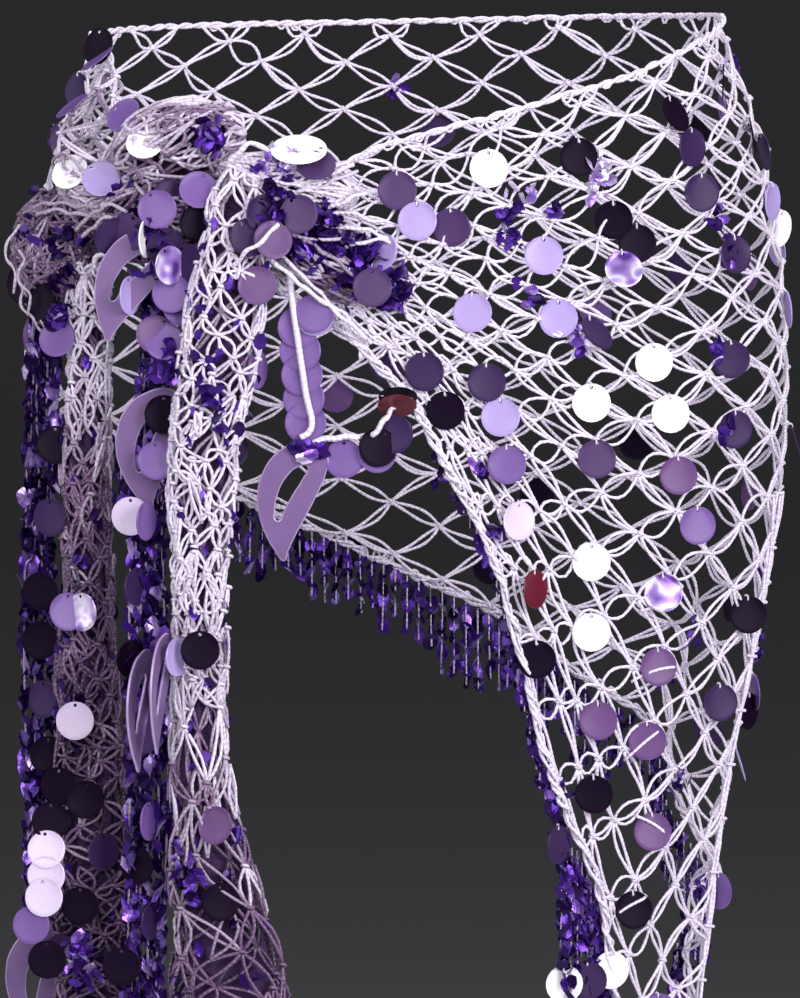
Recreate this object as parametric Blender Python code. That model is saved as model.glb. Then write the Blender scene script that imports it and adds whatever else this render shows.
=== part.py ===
"""Belly dance hip scarf: a triangular net scarf worn round the hips and knotted at the right hip.

Metres, +Z up, the wearer faces -Y and the wearer's left is +X. The origin is the middle of the
ring of the hips at the height where the scarf's top edge crosses the left hip.
The tables are in millimetres and degrees. Angles run round the ring from the front (0) over the
wearer's left (90), the back (180) and the wearer's right (270).
"""
import math

import bmesh
import bpy
from mathutils import Matrix, Vector

MM = 0.001

# Cloth and trim sizes, in millimetres
WALL = 2.4
GAP = 0.35
LAYER_GAP = 0.6
BORDER_GAP = 0.9
FRINGE_WALL = 2.0
BORDER_RADIUS = 2.6
FRINGE_DROP = 50.0
FRINGE_OVERLAP = 7.0
PENDANT_WALL = 1.2

# How far each layer stands out from the figure, from the inside out
FRINGE_OUT = 1.0
PANEL_OUT = FRINGE_OUT + FRINGE_WALL + LAYER_GAP
PANEL_FACE = PANEL_OUT + WALL
BORDER_OUT = PANEL_FACE + BORDER_GAP + BORDER_RADIUS

# General figure inside the scarf: half width and half depth of the ring at each height
FORM_COLUMNS = ("height", "half_width", "half_depth")
FORM = (
    (40, 134.0, 100.0),
    (0, 142.0, 105.0),
    (-50, 161.0, 112.0),
    (-100, 170.5, 117.0),
    (-175, 175.5, 120.0),
    (-230, 172.0, 118.0),
    (-300, 160.5, 111.0),
    (-370, 145.5, 103.0),
    (-450, 131.0, 95.0),
    (-560, 119.0, 88.0),
    (-640, 117.0, 87.0),
)

# The net's top edge and bottom edge at each angle, from the knot round to the knot again
EDGE_COLUMNS = ("angle", "top", "bottom")
EDGES = (
    (-21, -78.0, -122.5),
    (-17, -74.0, -129.0),
    (-10.5, -67.0, -141.0),
    (-4, -58.5, -161.5),
    (1.4, -54.0, -182.0),
    (4.5, -51.5, -201.0),
    (8, -48.5, -220.5),
    (11.5, -46.5, -241.0),
    (15, -43.5, -269.5),
    (18, -41.5, -297.0),
    (22.5, -38.0, -335.5),
    (26.5, -35.0, -359.0),
    (30.5, -32.5, -377.5),
    (35, -29.5, -396.0),
    (39, -27.0, -415.0),
    (42, -25.0, -438.0),
    (45, -22.0, -463.0),
    (49, -19.5, -493.0),
    (54, -16.0, -527.0),
    (60, -12.0, -547.0),
    (66, -8.5, -536.0),
    (76, -3.5, -494.0),
    (90, 1.0, -442.0),
    (110, 2.0, -392.0),
    (140, 2.0, -335.0),
    (180, 0.0, -275.0),
    (220, -2.0, -222.0),
    (250, -5.0, -185.0),
    (270, -8.0, -160.0),
    (285, -11.0, -138.0),
    (294, -16.0, -124.0),
    (300, -28.0, -112.0),
    (305, -42.0, -104.0),
)

# Soft ridges (out) and troughs (in) that run down to the lower edge from a start height
# Columns: angle, spread, out, start
FOLDS = (
    (66, 6.0, -4.0, -330),
    (77, 5.5, 7.5, -300),
    (89, 6.0, -6.0, -280),
    (100, 6.5, 8.0, -260),
    (117, 8.0, -6.0, -190),
    (132, 7.0, 8.0, -150),
    (150, 8.5, -7.0, -130),
    (169, 7.5, 8.0, -110),
    (190, 8.5, -5.0, -90),
    (209, 7.0, 7.0, -80),
    (230, 8.5, -5.0, -70),
    (248, 7.0, 6.0, -60),
)
FOLD_GROWTH = 130.0

# Stretches of the net round the ring; all that follows the ring has its corners at the same steps
ANGLE_STEP = 3.0
SEAM_ANGLE = 0.1
# Columns: name, from angle, to angle, rows
PANELS = (
    ("net_front_drape", -21.0, 63.0, 14),
    ("net_left_side", 63.0, 129.0, 12),
    ("net_back", 129.0, 249.0, 9),
    ("net_right_hip", 249.0, 303.0, 7),
)

# Cords along the net's edges, and walls of the fringe's reach behind its lower edge
# Columns: name, edge, from angle, to angle
BORDERS = (
    ("border_top_front", "top", -20.0, 89.8),
    ("border_top_back", "top", 90.2, 302.0),
    ("border_front_edge", "bottom", -20.0, 58.9),
    ("border_back_edge", "bottom", 61.1, 302.0),
)
# Columns: name, from angle, to angle
FRINGES = (
    ("fringe_front_edge", 3.5, 59.9),
    ("fringe_back_edge", 60.1, 288.0),
)

# Rounded masses of gathered net in the knot: centre, half sizes, and turn in the plane of view
# Columns: name, x, y, z, half x, half y, half z, turn
MASSES = (
    ("knot_core", -113, -103, -92, 30, 22, 20, -10),
    ("knot_top_loop", -106, -98, -59, 32, 19, 20, -14),
    ("knot_wrap", -55, -123, -75, 31, 12, 10, 12),
    ("knot_drape_mouth", -43, -121, -104, 37, 12, 17, 36),
)
MASS_SEGMENTS = 20
MASS_RINGS = 12

# Hanging stretches: each row is a level of an oval section
# Columns: x, y, z, half x, half y
TAIL_CENTRE = (
    (-75, -127, -66, 10, 7),
    (-76, -130, -83, 16, 9),
    (-81, -132, -106, 17, 10),
    (-84, -132, -129, 19, 10),
    (-87, -131, -152, 19, 10),
    (-91, -130, -175, 18, 9),
    (-95, -128, -198, 17, 9),
    (-96.5, -126, -235, 14.5, 8),
    (-97, -124, -275, 13, 8),
    (-97.5, -122, -323, 13, 8),
    (-96, -120, -360, 15, 8),
    (-92, -119, -389, 19, 8),
    (-87, -118, -421, 24, 8),
    (-84, -117, -453, 28, 8),
    (-82, -116, -490, 30, 7),
    (-82, -116, -520, 27, 6),
)
TAIL_SIDE = (
    (-149, -84, -112, 9, 7),
    (-149, -88, -145, 11, 8),
    (-150, -88, -177, 11, 8),
    (-151, -88, -224, 12, 8),
    (-150.5, -87, -271, 13, 8),
    (-151, -86, -318, 15, 8),
    (-150, -85, -365, 18, 8),
    (-148, -84, -412, 20, 8),
    (-146, -83, -458, 22, 8),
    (-145, -83, -505, 22, 7),
)
FRINGE_MIDDLE = (
    (-113, -112, -104, 9, 3),
    (-117, -113, -145, 9, 3),
    (-121, -112, -199, 10, 3),
    (-121.5, -112, -268, 11, 3),
    (-121, -111, -338, 11, 3),
    (-123, -110, -408, 12, 3),
    (-124.5, -109, -455, 12, 3),
    (-125, -109, -500, 10, 3),
)
FRINGE_SIDE = (
    (-170, -62, -118, 8, 3),
    (-174.5, -63, -178, 9, 3),
    (-174, -65, -272, 9, 3),
    (-174.5, -66, -367, 10, 3),
    (-175, -66, -430, 9, 3),
)
STRAND_SCALLOPED = (
    (-51.6, -127, -118, 9, 1.6),
    (-49.3, -128, -143, 11.5, 1.6),
    (-48.4, -128, -166, 11.5, 1.6),
    (-47, -128, -193, 10.5, 1.6),
)
STRAND_LINK = (
    (-43, -128, -199.5, 4.0, 1.6),
    (-30, -128, -203, 8.0, 1.6),
    (-17.5, -128, -199, 8.5, 1.6),
    (-7, -128, -189, 8.0, 1.6),
    (-1, -128, -181, 5.0, 1.6),
)
HIP_GATHER = (
    (-139, -56, -24, 5, 6),
    (-142, -60, -36, 11, 12),
    (-145, -66, -52, 18, 18),
    (-146, -72, -68, 22, 23),
    (-143, -77, -82, 20, 22),
    (-139, -81, -93, 11, 14),
)
SIDE_LUMP = (
    (-158, -64, -80, 13, 12),
    (-162, -64, -91, 21, 20),
    (-163, -65, -108, 24, 23),
    (-162, -66, -124, 22, 21),
    (-159, -67, -139, 17, 16),
    (-156, -68, -149, 9, 9),
)
ROPES = (
    ("knot_hip_gather", HIP_GATHER, "yarn"),
    ("knot_side_lump", SIDE_LUMP, "yarn"),
    ("tail_centre", TAIL_CENTRE, "yarn"),
    ("tail_side", TAIL_SIDE, "yarn"),
    ("fringe_between_tails", FRINGE_MIDDLE, "sequin"),
    ("fringe_beside_tail", FRINGE_SIDE, "sequin"),
    ("strand_scalloped", STRAND_SCALLOPED, "sequin"),
    ("strand_link", STRAND_LINK, "sequin"),
)
ROPE_SIDES = 14

# Room kept round each solid for the next, and the grid of the figure's own room
ROOM = 1.15 * GAP
WELD = 1e-6
FIGURE_TOP = 20
FIGURE_STEP = 12
FIGURE_LEVELS = 54
FIGURE_TURN = 6

# Leaf pendant, hung by its broad top, and the slot inside it: shares of its length, and its sides
LEAF_LENGTH = 54.0
# Columns: along, left, right
LEAF = (
    (0.00, -5.5, 8.5),
    (0.11, -14.5, 11.5),
    (0.27, -19.5, 10.0),
    (0.44, -21.5, 6.0),
    (0.62, -20.5, 1.0),
    (0.80, -17.0, -4.2),
    (0.92, -13.0, -7.2),
    (1.00, -9.0, -9.0),
)
SLOT = (
    (0.19, -1.5, 1.5),
    (0.30, -8.5, -0.8),
    (0.44, -12.0, -5.5),
    (0.57, -13.2, -9.2),
    (0.65, -12.6, -11.2),
)
# Columns: name, x, y, z, tilt, yaw
PENDANTS = (
    ("pendant_strand", -49.0, -130.5, -195.0, 0.0, 0.0),
    ("pendant_knot", -117.0, -125.0, -98.0, 14.0, 0.0),
    ("pendant_behind_tail", -118.0, -116.5, -172.0, -8.0, 0.0),
    ("pendant_side_foot", -176.0, -70.0, -428.0, -16.0, 0.0),
    ("pendant_edge_upper", -113.2, -128.7, -284.0, 4.0, 76.0),
    ("pendant_edge_lower", -123.0, -126.3, -292.0, -3.0, 70.0),
)

YARN_COLOUR = (0.80, 0.72, 0.86, 1.0)
SEQUIN_COLOUR = (0.10, 0.04, 0.30, 1.0)
PENDANT_COLOUR = (0.42, 0.27, 0.62, 1.0)


def smooth(table, columns, key, wanted, at):
    """Value of one column at a place on another, on a smooth curve through the table's rows."""
    k, w = columns.index(key), columns.index(wanted)
    rows = sorted((row[k], row[w]) for row in table)
    if at <= rows[0][0]:
        return rows[0][1]
    if at >= rows[-1][0]:
        return rows[-1][1]
    i = max(n for n in range(len(rows) - 1) if rows[n][0] <= at)

    def slope(n):
        before, after = rows[max(n - 1, 0)], rows[min(n + 1, len(rows) - 1)]
        return (after[1] - before[1]) / (after[0] - before[0])

    (x0, y0), (x1, y1) = rows[i], rows[i + 1]
    width = x1 - x0
    t = (at - x0) / width
    return (
        (1 + 2 * t) * (1 - t) ** 2 * y0
        + t * (1 - t) ** 2 * width * slope(i)
        + t * t * (3 - 2 * t) * y1
        - t * t * (1 - t) * width * slope(i + 1)
    )


def fold_out(angle, height):
    """How far the folds carry the cloth out of its plain ring."""
    total = 0.0
    for centre, spread, out, start in FOLDS:
        grown = min(max((start - height) / FOLD_GROWTH, 0.0), 1.0)
        total += out * grown * grown * math.exp(-(((angle - centre) / spread) ** 2))
    return total


def worn_point(angle, height, out):
    """Point of the worn cloth at an angle and a height, moved out from the figure."""
    half_width = smooth(FORM, FORM_COLUMNS, "height", "half_width", height)
    half_depth = smooth(FORM, FORM_COLUMNS, "height", "half_depth", height)
    out += fold_out(angle, height)
    turn = math.radians(angle)
    return Vector(
        (
            (half_width + out) * math.sin(turn) * MM,
            -(half_depth + out) * math.cos(turn) * MM,
            height * MM,
        )
    )


def edge(which, angle):
    return smooth(EDGES, EDGE_COLUMNS, "angle", which, angle)


def material(name, colour, roughness, metallic):
    made = bpy.data.materials.new(name)
    made.use_nodes = True
    shader = made.node_tree.nodes["Principled BSDF"]
    shader.inputs["Base Color"].default_value = colour
    shader.inputs["Roughness"].default_value = roughness
    shader.inputs["Metallic"].default_value = metallic
    return made


def add_object(name, mesh, slot):
    """One named object in the scarf's collection, with its material."""
    made = bpy.data.objects.new(name, mesh)
    mesh.materials.append(MATERIALS[slot])
    SCARF.objects.link(made)
    return made


def mesh_from(name, points, faces):
    mesh = bpy.data.meshes.new(name)
    built = bmesh.new()
    corners = [built.verts.new(point) for point in points]
    for face in faces:
        built.faces.new([corners[n] for n in face])
    bmesh.ops.recalc_face_normals(built, faces=built.faces)
    built.to_mesh(mesh)
    built.free()
    return mesh


def steps_between(start, end):
    """Angles from start to end, through each whole step between them."""
    first, last = math.floor(start / ANGLE_STEP) + 1, math.ceil(end / ANGLE_STEP) - 1
    return [start, *(n * ANGLE_STEP for n in range(first, last + 1)), end]


def wall(name, angles, heights, out, thickness, slot):
    """Closed wall between two sheets of worn points, so that each layer clears the next everywhere."""
    columns, rows = len(angles), len(heights(angles[0]))
    points = [
        worn_point(angle, height, layer)
        for layer in (out, out + thickness)
        for angle in angles
        for height in heights(angle)
    ]

    def corner(layer, column, row):
        return (layer * columns + column) * rows + row

    faces = []
    for c in range(columns - 1):
        for r in range(rows - 1):
            for layer in (0, 1):
                around = ((c, r), (c, r + 1), (c + 1, r + 1), (c + 1, r))
                faces.append([corner(layer, *at) for at in around])
    rim = [(c, 0) for c in range(columns)] + [(columns - 1, r) for r in range(1, rows)]
    rim += [(c, rows - 1) for c in range(columns - 2, -1, -1)] + [(0, r) for r in range(rows - 2, 0, -1)]
    for here, after in zip(rim, rim[1:] + rim[:1]):
        faces.append([corner(0, *here), corner(0, *after), corner(1, *after), corner(1, *here)])
    mesh = mesh_from(name, points, faces)
    mesh.shade_smooth()
    return add_object(name, mesh, slot)


def net_panels():
    """The net's stretches, each with a hem row that the fringe's first row lies behind."""
    for name, start, end, rows in PANELS:

        def heights(angle, rows=rows):
            top, foot = edge("top", angle), edge("bottom", angle)
            drop = top - foot - FRINGE_OVERLAP
            return [top - drop * r / rows for r in range(rows + 1)] + [foot]

        angles = steps_between(start + SEAM_ANGLE, end - SEAM_ANGLE)
        wall(name, angles, heights, PANEL_OUT, WALL, "yarn")


def edge_fringe(name, start, end):
    """Wall of the fringe's reach, hung behind the cloth's lower edge."""

    def heights(angle):
        foot = edge("bottom", angle)
        return [foot + FRINGE_OVERLAP, foot, foot - FRINGE_DROP / 2, foot - FRINGE_DROP]

    wall(name, steps_between(start, end), heights, FRINGE_OUT, FRINGE_WALL, "sequin")


def cord(name, places, radius, slot):
    """Round cord through a line of points."""
    curve = bpy.data.curves.new(name, "CURVE")
    curve.dimensions = "3D"
    curve.bevel_depth = radius * MM
    curve.bevel_resolution = 2
    curve.use_fill_caps = True
    spline = curve.splines.new("POLY")
    spline.points.add(len(places) - 1)
    for point, place in zip(spline.points, places):
        point.co = (*place, 1.0)
    made = bpy.data.objects.new(name, curve)
    curve.materials.append(MATERIALS[slot])
    SCARF.objects.link(made)
    return made


def border(name, which, start, end):
    """Cord that lies on the cloth's face along one of its edges."""
    places = [worn_point(angle, edge(which, angle), BORDER_OUT) for angle in steps_between(start, end)]
    return cord(name, places, BORDER_RADIUS, "yarn")


def mass(name, x, y, z, half_x, half_y, half_z, turn):
    """Rounded mass of gathered net."""
    mesh = bpy.data.meshes.new(name)
    built = bmesh.new()
    bmesh.ops.create_uvsphere(built, u_segments=MASS_SEGMENTS, v_segments=MASS_RINGS, radius=1.0)
    place = (
        Matrix.Translation((x * MM, y * MM, z * MM))
        @ Matrix.Rotation(math.radians(turn), 4, "Y")
        @ Matrix.Diagonal((half_x * MM, half_y * MM, half_z * MM, 1.0))
    )
    built.transform(place)
    built.to_mesh(mesh)
    built.free()
    mesh.shade_smooth()
    return add_object(name, mesh, "yarn")


def rope(name, levels, slot):
    """Closed solid through oval sections that stand square to the line they follow."""
    points = []
    for level, (x, y, z, half_x, half_y) in enumerate(levels):
        before, after = levels[max(level - 1, 0)], levels[min(level + 1, len(levels) - 1)]
        along = Vector((after[0] - before[0], 0.0, after[2] - before[2])).normalized()
        across = Vector((-along.z, 0.0, along.x))
        for n in range(ROPE_SIDES):
            turn = 2 * math.pi * n / ROPE_SIDES
            out = across * half_x * math.cos(turn) + Vector((0.0, half_y * math.sin(turn), 0.0))
            points.append((Vector((x, y, z)) + out) * MM)
    faces = [tuple(range(ROPE_SIDES)), tuple(range(len(points) - ROPE_SIDES, len(points)))]
    for level in range(len(levels) - 1):
        for n in range(ROPE_SIDES):
            after = (n + 1) % ROPE_SIDES
            low, high = level * ROPE_SIDES, (level + 1) * ROPE_SIDES
            faces.append((low + n, low + after, high + after, high + n))
    mesh = mesh_from(name, points, faces)
    mesh.shade_smooth()
    return add_object(name, mesh, slot)


def leaf_loop(table):
    """Outline down the left side of a leaf table and back up its right side."""
    down = [(left, -along * LEAF_LENGTH) for along, left, right in table]
    up = [(right, -along * LEAF_LENGTH) for along, left, right in reversed(table)]
    if up[0] == down[-1]:
        up = up[1:]
    return down + up


def pendant(name, x, y, z, tilt, yaw):
    """Flat leaf with a slot, hung from its top, tilted in its plane and turned about the vertical."""
    curve = bpy.data.curves.new(name, "CURVE")
    curve.dimensions = "2D"
    curve.fill_mode = "BOTH"
    curve.extrude = PENDANT_WALL / 2 * MM
    for loop in (leaf_loop(LEAF), leaf_loop(SLOT)):
        spline = curve.splines.new("POLY")
        spline.points.add(len(loop) - 1)
        spline.use_cyclic_u = True
        for point, (across, up) in zip(spline.points, loop):
            point.co = (across * MM, up * MM, 0.0, 1.0)
    made = bpy.data.objects.new(name, curve)
    made.location = (x * MM, y * MM, z * MM)
    made.rotation_euler = (math.radians(90), math.radians(tilt), math.radians(yaw))
    curve.materials.append(MATERIALS["pendant"])
    SCARF.objects.link(made)
    return made


def solid_mesh(source):
    """Mesh of an object as it stands in the world, its caps welded."""
    bpy.context.view_layer.update()
    graph = bpy.context.evaluated_depsgraph_get()
    mesh = bpy.data.meshes.new_from_object(source.evaluated_get(graph))
    mesh.transform(source.matrix_world)
    built = bmesh.new()
    built.from_mesh(mesh)
    bmesh.ops.remove_doubles(built, verts=built.verts, dist=WELD)
    built.to_mesh(mesh)
    built.free()
    return mesh


def cutter_from(source):
    """Hidden copy of a solid, grown by the gap that neighbours keep."""
    mesh = solid_mesh(source)
    built = bmesh.new()
    built.from_mesh(mesh)
    built.normal_update()
    for point in built.verts:
        point.co += point.normal * ROOM * MM
    built.to_mesh(mesh)
    built.free()
    made = bpy.data.objects.new(source.name + "_room", mesh)
    CUTTERS.objects.link(made)
    made.hide_render = True
    made.display_type = "WIRE"
    return made


def figure_cutter():
    """Hidden block of the figure out to just past the cloth's face, for what lies on the cloth."""
    heights = [FIGURE_TOP - FIGURE_STEP * n for n in range(FIGURE_LEVELS)]
    angles = range(0, 360, FIGURE_TURN)
    points = [worn_point(angle, height, PANEL_FACE + GAP) for height in heights for angle in angles]
    around = len(angles)
    faces = [tuple(range(around)), tuple(range(len(points) - around, len(points)))]
    for level in range(len(heights) - 1):
        for n in range(around):
            after = (n + 1) % around
            low, high = level * around, (level + 1) * around
            faces.append((low + n, low + after, high + after, high + n))
    made = bpy.data.objects.new("figure_room", mesh_from("figure_room", points, faces))
    CUTTERS.objects.link(made)
    made.hide_render = True
    made.display_type = "WIRE"
    return made


def cut(target, cutters):
    for cutter in cutters:
        step = target.modifiers.new(cutter.name, "BOOLEAN")
        step.operation = "DIFFERENCE"
        step.object = cutter


def clear_scene():
    for old in list(bpy.data.objects):
        bpy.data.objects.remove(old, do_unlink=True)


def new_collection(name):
    made = bpy.data.collections.new(name)
    bpy.context.scene.collection.children.link(made)
    return made


clear_scene()
SCARF = new_collection("hip_scarf")
CUTTERS = new_collection("cutters")
MATERIALS = {
    "yarn": material("yarn", YARN_COLOUR, 0.55, 0.0),
    "sequin": material("sequin", SEQUIN_COLOUR, 0.2, 0.6),
    "pendant": material("pendant", PENDANT_COLOUR, 0.3, 0.2),
}

net_panels()
for fringe_name, start_angle, end_angle in FRINGES:
    edge_fringe(fringe_name, start_angle, end_angle)
placed = [figure_cutter()]
for border_name, which_edge, start_angle, end_angle in BORDERS:
    placed.append(cutter_from(border(border_name, which_edge, start_angle, end_angle)))
for row in MASSES:
    made = mass(*row)
    cut(made, placed)
    placed.append(cutter_from(made))
for rope_name, levels, rope_slot in ROPES:
    made = rope(rope_name, levels, rope_slot)
    cut(made, placed)
    placed.append(cutter_from(made))
for row in PENDANTS:
    pendant(*row)
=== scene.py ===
"""Looks of the belly dance hip scarf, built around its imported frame.

Metres, +Z up, the wearer faces -Y and the wearer's left is +X. The tables are in millimetres and
degrees. Angles run round the ring from the front (0) over the wearer's left (90), the back (180)
and the wearer's right (270). The net has its own count of links: "fall" links run down to the
wearer's left and "rise" links run up to the wearer's left.
"""
import math
import random

import bpy
import numpy as np
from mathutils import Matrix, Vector


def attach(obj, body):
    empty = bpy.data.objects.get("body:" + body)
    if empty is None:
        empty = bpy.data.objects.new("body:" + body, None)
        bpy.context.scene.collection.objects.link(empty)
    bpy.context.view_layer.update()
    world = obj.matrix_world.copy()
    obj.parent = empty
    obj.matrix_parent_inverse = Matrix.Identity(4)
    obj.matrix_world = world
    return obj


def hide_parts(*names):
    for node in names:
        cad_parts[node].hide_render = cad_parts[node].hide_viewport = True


MM = 0.001

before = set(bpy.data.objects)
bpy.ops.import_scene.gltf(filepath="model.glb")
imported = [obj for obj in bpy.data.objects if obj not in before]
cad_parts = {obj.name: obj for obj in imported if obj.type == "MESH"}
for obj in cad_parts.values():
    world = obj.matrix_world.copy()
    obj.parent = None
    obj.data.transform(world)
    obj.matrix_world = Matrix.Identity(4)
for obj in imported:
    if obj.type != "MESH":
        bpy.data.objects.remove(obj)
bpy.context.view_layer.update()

# ---------------------------------------------------------------- the form, as in the part

WALL = 2.4
FRINGE_OUT = 1.0
FRINGE_WALL = 2.0
PANEL_OUT = FRINGE_OUT + FRINGE_WALL + 0.6
FRINGE_DROP = 50.0

FORM_COLUMNS = ("height", "half_width", "half_depth")
FORM = (
    (40, 134.0, 100.0),
    (0, 142.0, 105.0),
    (-50, 161.0, 112.0),
    (-100, 170.5, 117.0),
    (-175, 175.5, 120.0),
    (-230, 172.0, 118.0),
    (-300, 160.5, 111.0),
    (-370, 145.5, 103.0),
    (-450, 131.0, 95.0),
    (-560, 119.0, 88.0),
    (-640, 117.0, 87.0),
)

EDGE_COLUMNS = ("angle", "top", "bottom")
EDGES = (
    (-21, -78.0, -122.5),
    (-17, -74.0, -129.0),
    (-10.5, -67.0, -141.0),
    (-4, -58.5, -161.5),
    (1.4, -54.0, -182.0),
    (4.5, -51.5, -201.0),
    (8, -48.5, -220.5),
    (11.5, -46.5, -241.0),
    (15, -43.5, -269.5),
    (18, -41.5, -297.0),
    (22.5, -38.0, -335.5),
    (26.5, -35.0, -359.0),
    (30.5, -32.5, -377.5),
    (35, -29.5, -396.0),
    (39, -27.0, -415.0),
    (42, -25.0, -438.0),
    (45, -22.0, -463.0),
    (49, -19.5, -493.0),
    (54, -16.0, -527.0),
    (60, -12.0, -547.0),
    (66, -8.5, -536.0),
    (76, -3.5, -494.0),
    (90, 1.0, -442.0),
    (110, 2.0, -392.0),
    (140, 2.0, -335.0),
    (180, 0.0, -275.0),
    (220, -2.0, -222.0),
    (250, -5.0, -185.0),
    (270, -8.0, -160.0),
    (285, -11.0, -138.0),
    (294, -16.0, -124.0),
    (300, -28.0, -112.0),
    (305, -42.0, -104.0),
)
APEX_ANGLE = 60.0
MOUTH_ANGLE = -21.0
HIP_END_ANGLE = 303.0

# Folds: angle, spread, out, and the height where each starts
FOLDS = (
    (66, 6.0, -4.0, -330),
    (77, 5.5, 7.5, -300),
    (89, 6.0, -6.0, -280),
    (100, 6.5, 8.0, -260),
    (117, 8.0, -6.0, -190),
    (132, 7.0, 8.0, -150),
    (150, 8.5, -7.0, -130),
    (169, 7.5, 8.0, -110),
    (190, 8.5, -5.0, -90),
    (209, 7.0, 7.0, -80),
    (230, 8.5, -5.0, -70),
    (248, 7.0, 6.0, -60),
)
FOLD_GROWTH = 130.0


def clamped(value, low, high):
    return min(max(value, low), high)


def curve_point(t, width, start, end, start_slope, end_slope):
    """Point at share t of a smooth stretch between two places with known slopes."""
    return (
        (1 + 2 * t) * (1 - t) ** 2 * start
        + t * (1 - t) ** 2 * width * start_slope
        + t * t * (3 - 2 * t) * end
        - t * t * (1 - t) * width * end_slope
    )


def distances(path):
    """How far along a path each of its points lies."""
    return np.concatenate([[0], np.cumsum(np.linalg.norm(np.diff(path, axis=0), axis=1))])


def smooth(table, columns, key, wanted, at):
    """Value of one column at a place on another, on a smooth curve through the table's rows."""
    k, w = columns.index(key), columns.index(wanted)
    rows = sorted((row[k], row[w]) for row in table)
    if at <= rows[0][0]:
        return rows[0][1]
    if at >= rows[-1][0]:
        return rows[-1][1]
    i = max(n for n in range(len(rows) - 1) if rows[n][0] <= at)

    def slope(n):
        before, after = rows[max(n - 1, 0)], rows[min(n + 1, len(rows) - 1)]
        return (after[1] - before[1]) / (after[0] - before[0])

    (x0, y0), (x1, y1) = rows[i], rows[i + 1]
    width = x1 - x0
    return curve_point((at - x0) / width, width, y0, y1, slope(i), slope(i + 1))


def sampled(table, columns, key, wanted, places):
    """One column of a table at each of many places on another."""
    return np.array([smooth(table, columns, key, wanted, at) for at in places])


HEIGHTS = np.arange(-660.0, 61.0, 2.0)
HALF_WIDTHS = sampled(FORM, FORM_COLUMNS, "height", "half_width", HEIGHTS)
HALF_DEPTHS = sampled(FORM, FORM_COLUMNS, "height", "half_depth", HEIGHTS)
EDGE_ANGLES = np.arange(-24.0, 306.0, 0.5)
EDGE_LINES = {
    which: sampled(EDGES, EDGE_COLUMNS, "angle", which, EDGE_ANGLES) for which in ("top", "bottom")
}


def edge(which, angles):
    """Heights of the cloth's top or bottom edge at angles."""
    return np.interp(angles, EDGE_ANGLES, EDGE_LINES[which])


def half_sizes(heights):
    """Half width and half depth of the form at heights."""
    return np.interp(heights, HEIGHTS, HALF_WIDTHS), np.interp(heights, HEIGHTS, HALF_DEPTHS)


def fold_out(angles, heights):
    """How far the folds carry the cloth out of its plain ring."""
    total = np.zeros(np.shape(angles))
    for centre, spread, out, start in FOLDS:
        grown = np.clip((start - heights) / FOLD_GROWTH, 0.0, 1.0)
        total = total + out * grown**2 * np.exp(-(((angles - centre) / spread) ** 2))
    return total


def worn(angles, heights, outs):
    """Places of the worn cloth at angles and heights, moved out from the figure, and the way out."""
    angles, heights, outs = np.broadcast_arrays(*(np.asarray(v, float) for v in (angles, heights, outs)))
    half_width, half_depth = half_sizes(heights)
    out = outs + fold_out(angles, heights)
    turn = np.radians(angles)
    places = np.stack(
        [(half_width + out) * np.sin(turn), -(half_depth + out) * np.cos(turn), heights], axis=-1
    )
    outward = np.stack([np.sin(turn) / half_width, -np.cos(turn) / half_depth, 0 * turn], axis=-1)
    return places, outward / np.linalg.norm(outward, axis=-1, keepdims=True)


# Strands and foil of the gathered net keep their middles at least this far out from the form
FIGURE_GAP = 7.2


def clear_of_figure(places):
    """The places, with any that would lie in or near the figure moved out to a gap past its form."""
    half_width, half_depth = half_sizes(places[:, 2])
    reach = np.sqrt(
        (places[:, 0] / (half_width + FIGURE_GAP)) ** 2 + (places[:, 1] / (half_depth + FIGURE_GAP)) ** 2
    )
    moved = places.copy()
    moved[:, :2] /= np.minimum(reach, 1.0)[:, None]
    return moved


# The ring round the hips that lengths round the net are measured on
RING_ANGLES = np.arange(-40.0, 341.0, 0.5)
RING_HALF_WIDTH, RING_HALF_DEPTH = 176.0, 120.0


def lengths_round():
    """Length round the hips from the front, at each of the ring's angles."""
    turns = np.radians(RING_ANGLES)
    pace = np.hypot(RING_HALF_WIDTH * np.cos(turns), RING_HALF_DEPTH * np.sin(turns))
    lengths = np.concatenate([[0], np.cumsum((pace[1:] + pace[:-1]) / 2 * np.diff(turns))])
    return lengths - np.interp(0, RING_ANGLES, lengths)


RING_LENGTHS = lengths_round()


def ring_length(angle):
    """Length round the hips from the front to an angle."""
    return np.interp(angle, RING_ANGLES, RING_LENGTHS)


def ring_angle(length):
    """Angle at a length round the hips from the front."""
    return np.interp(length, RING_LENGTHS, RING_ANGLES)


# ---------------------------------------------------------------- materials


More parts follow.
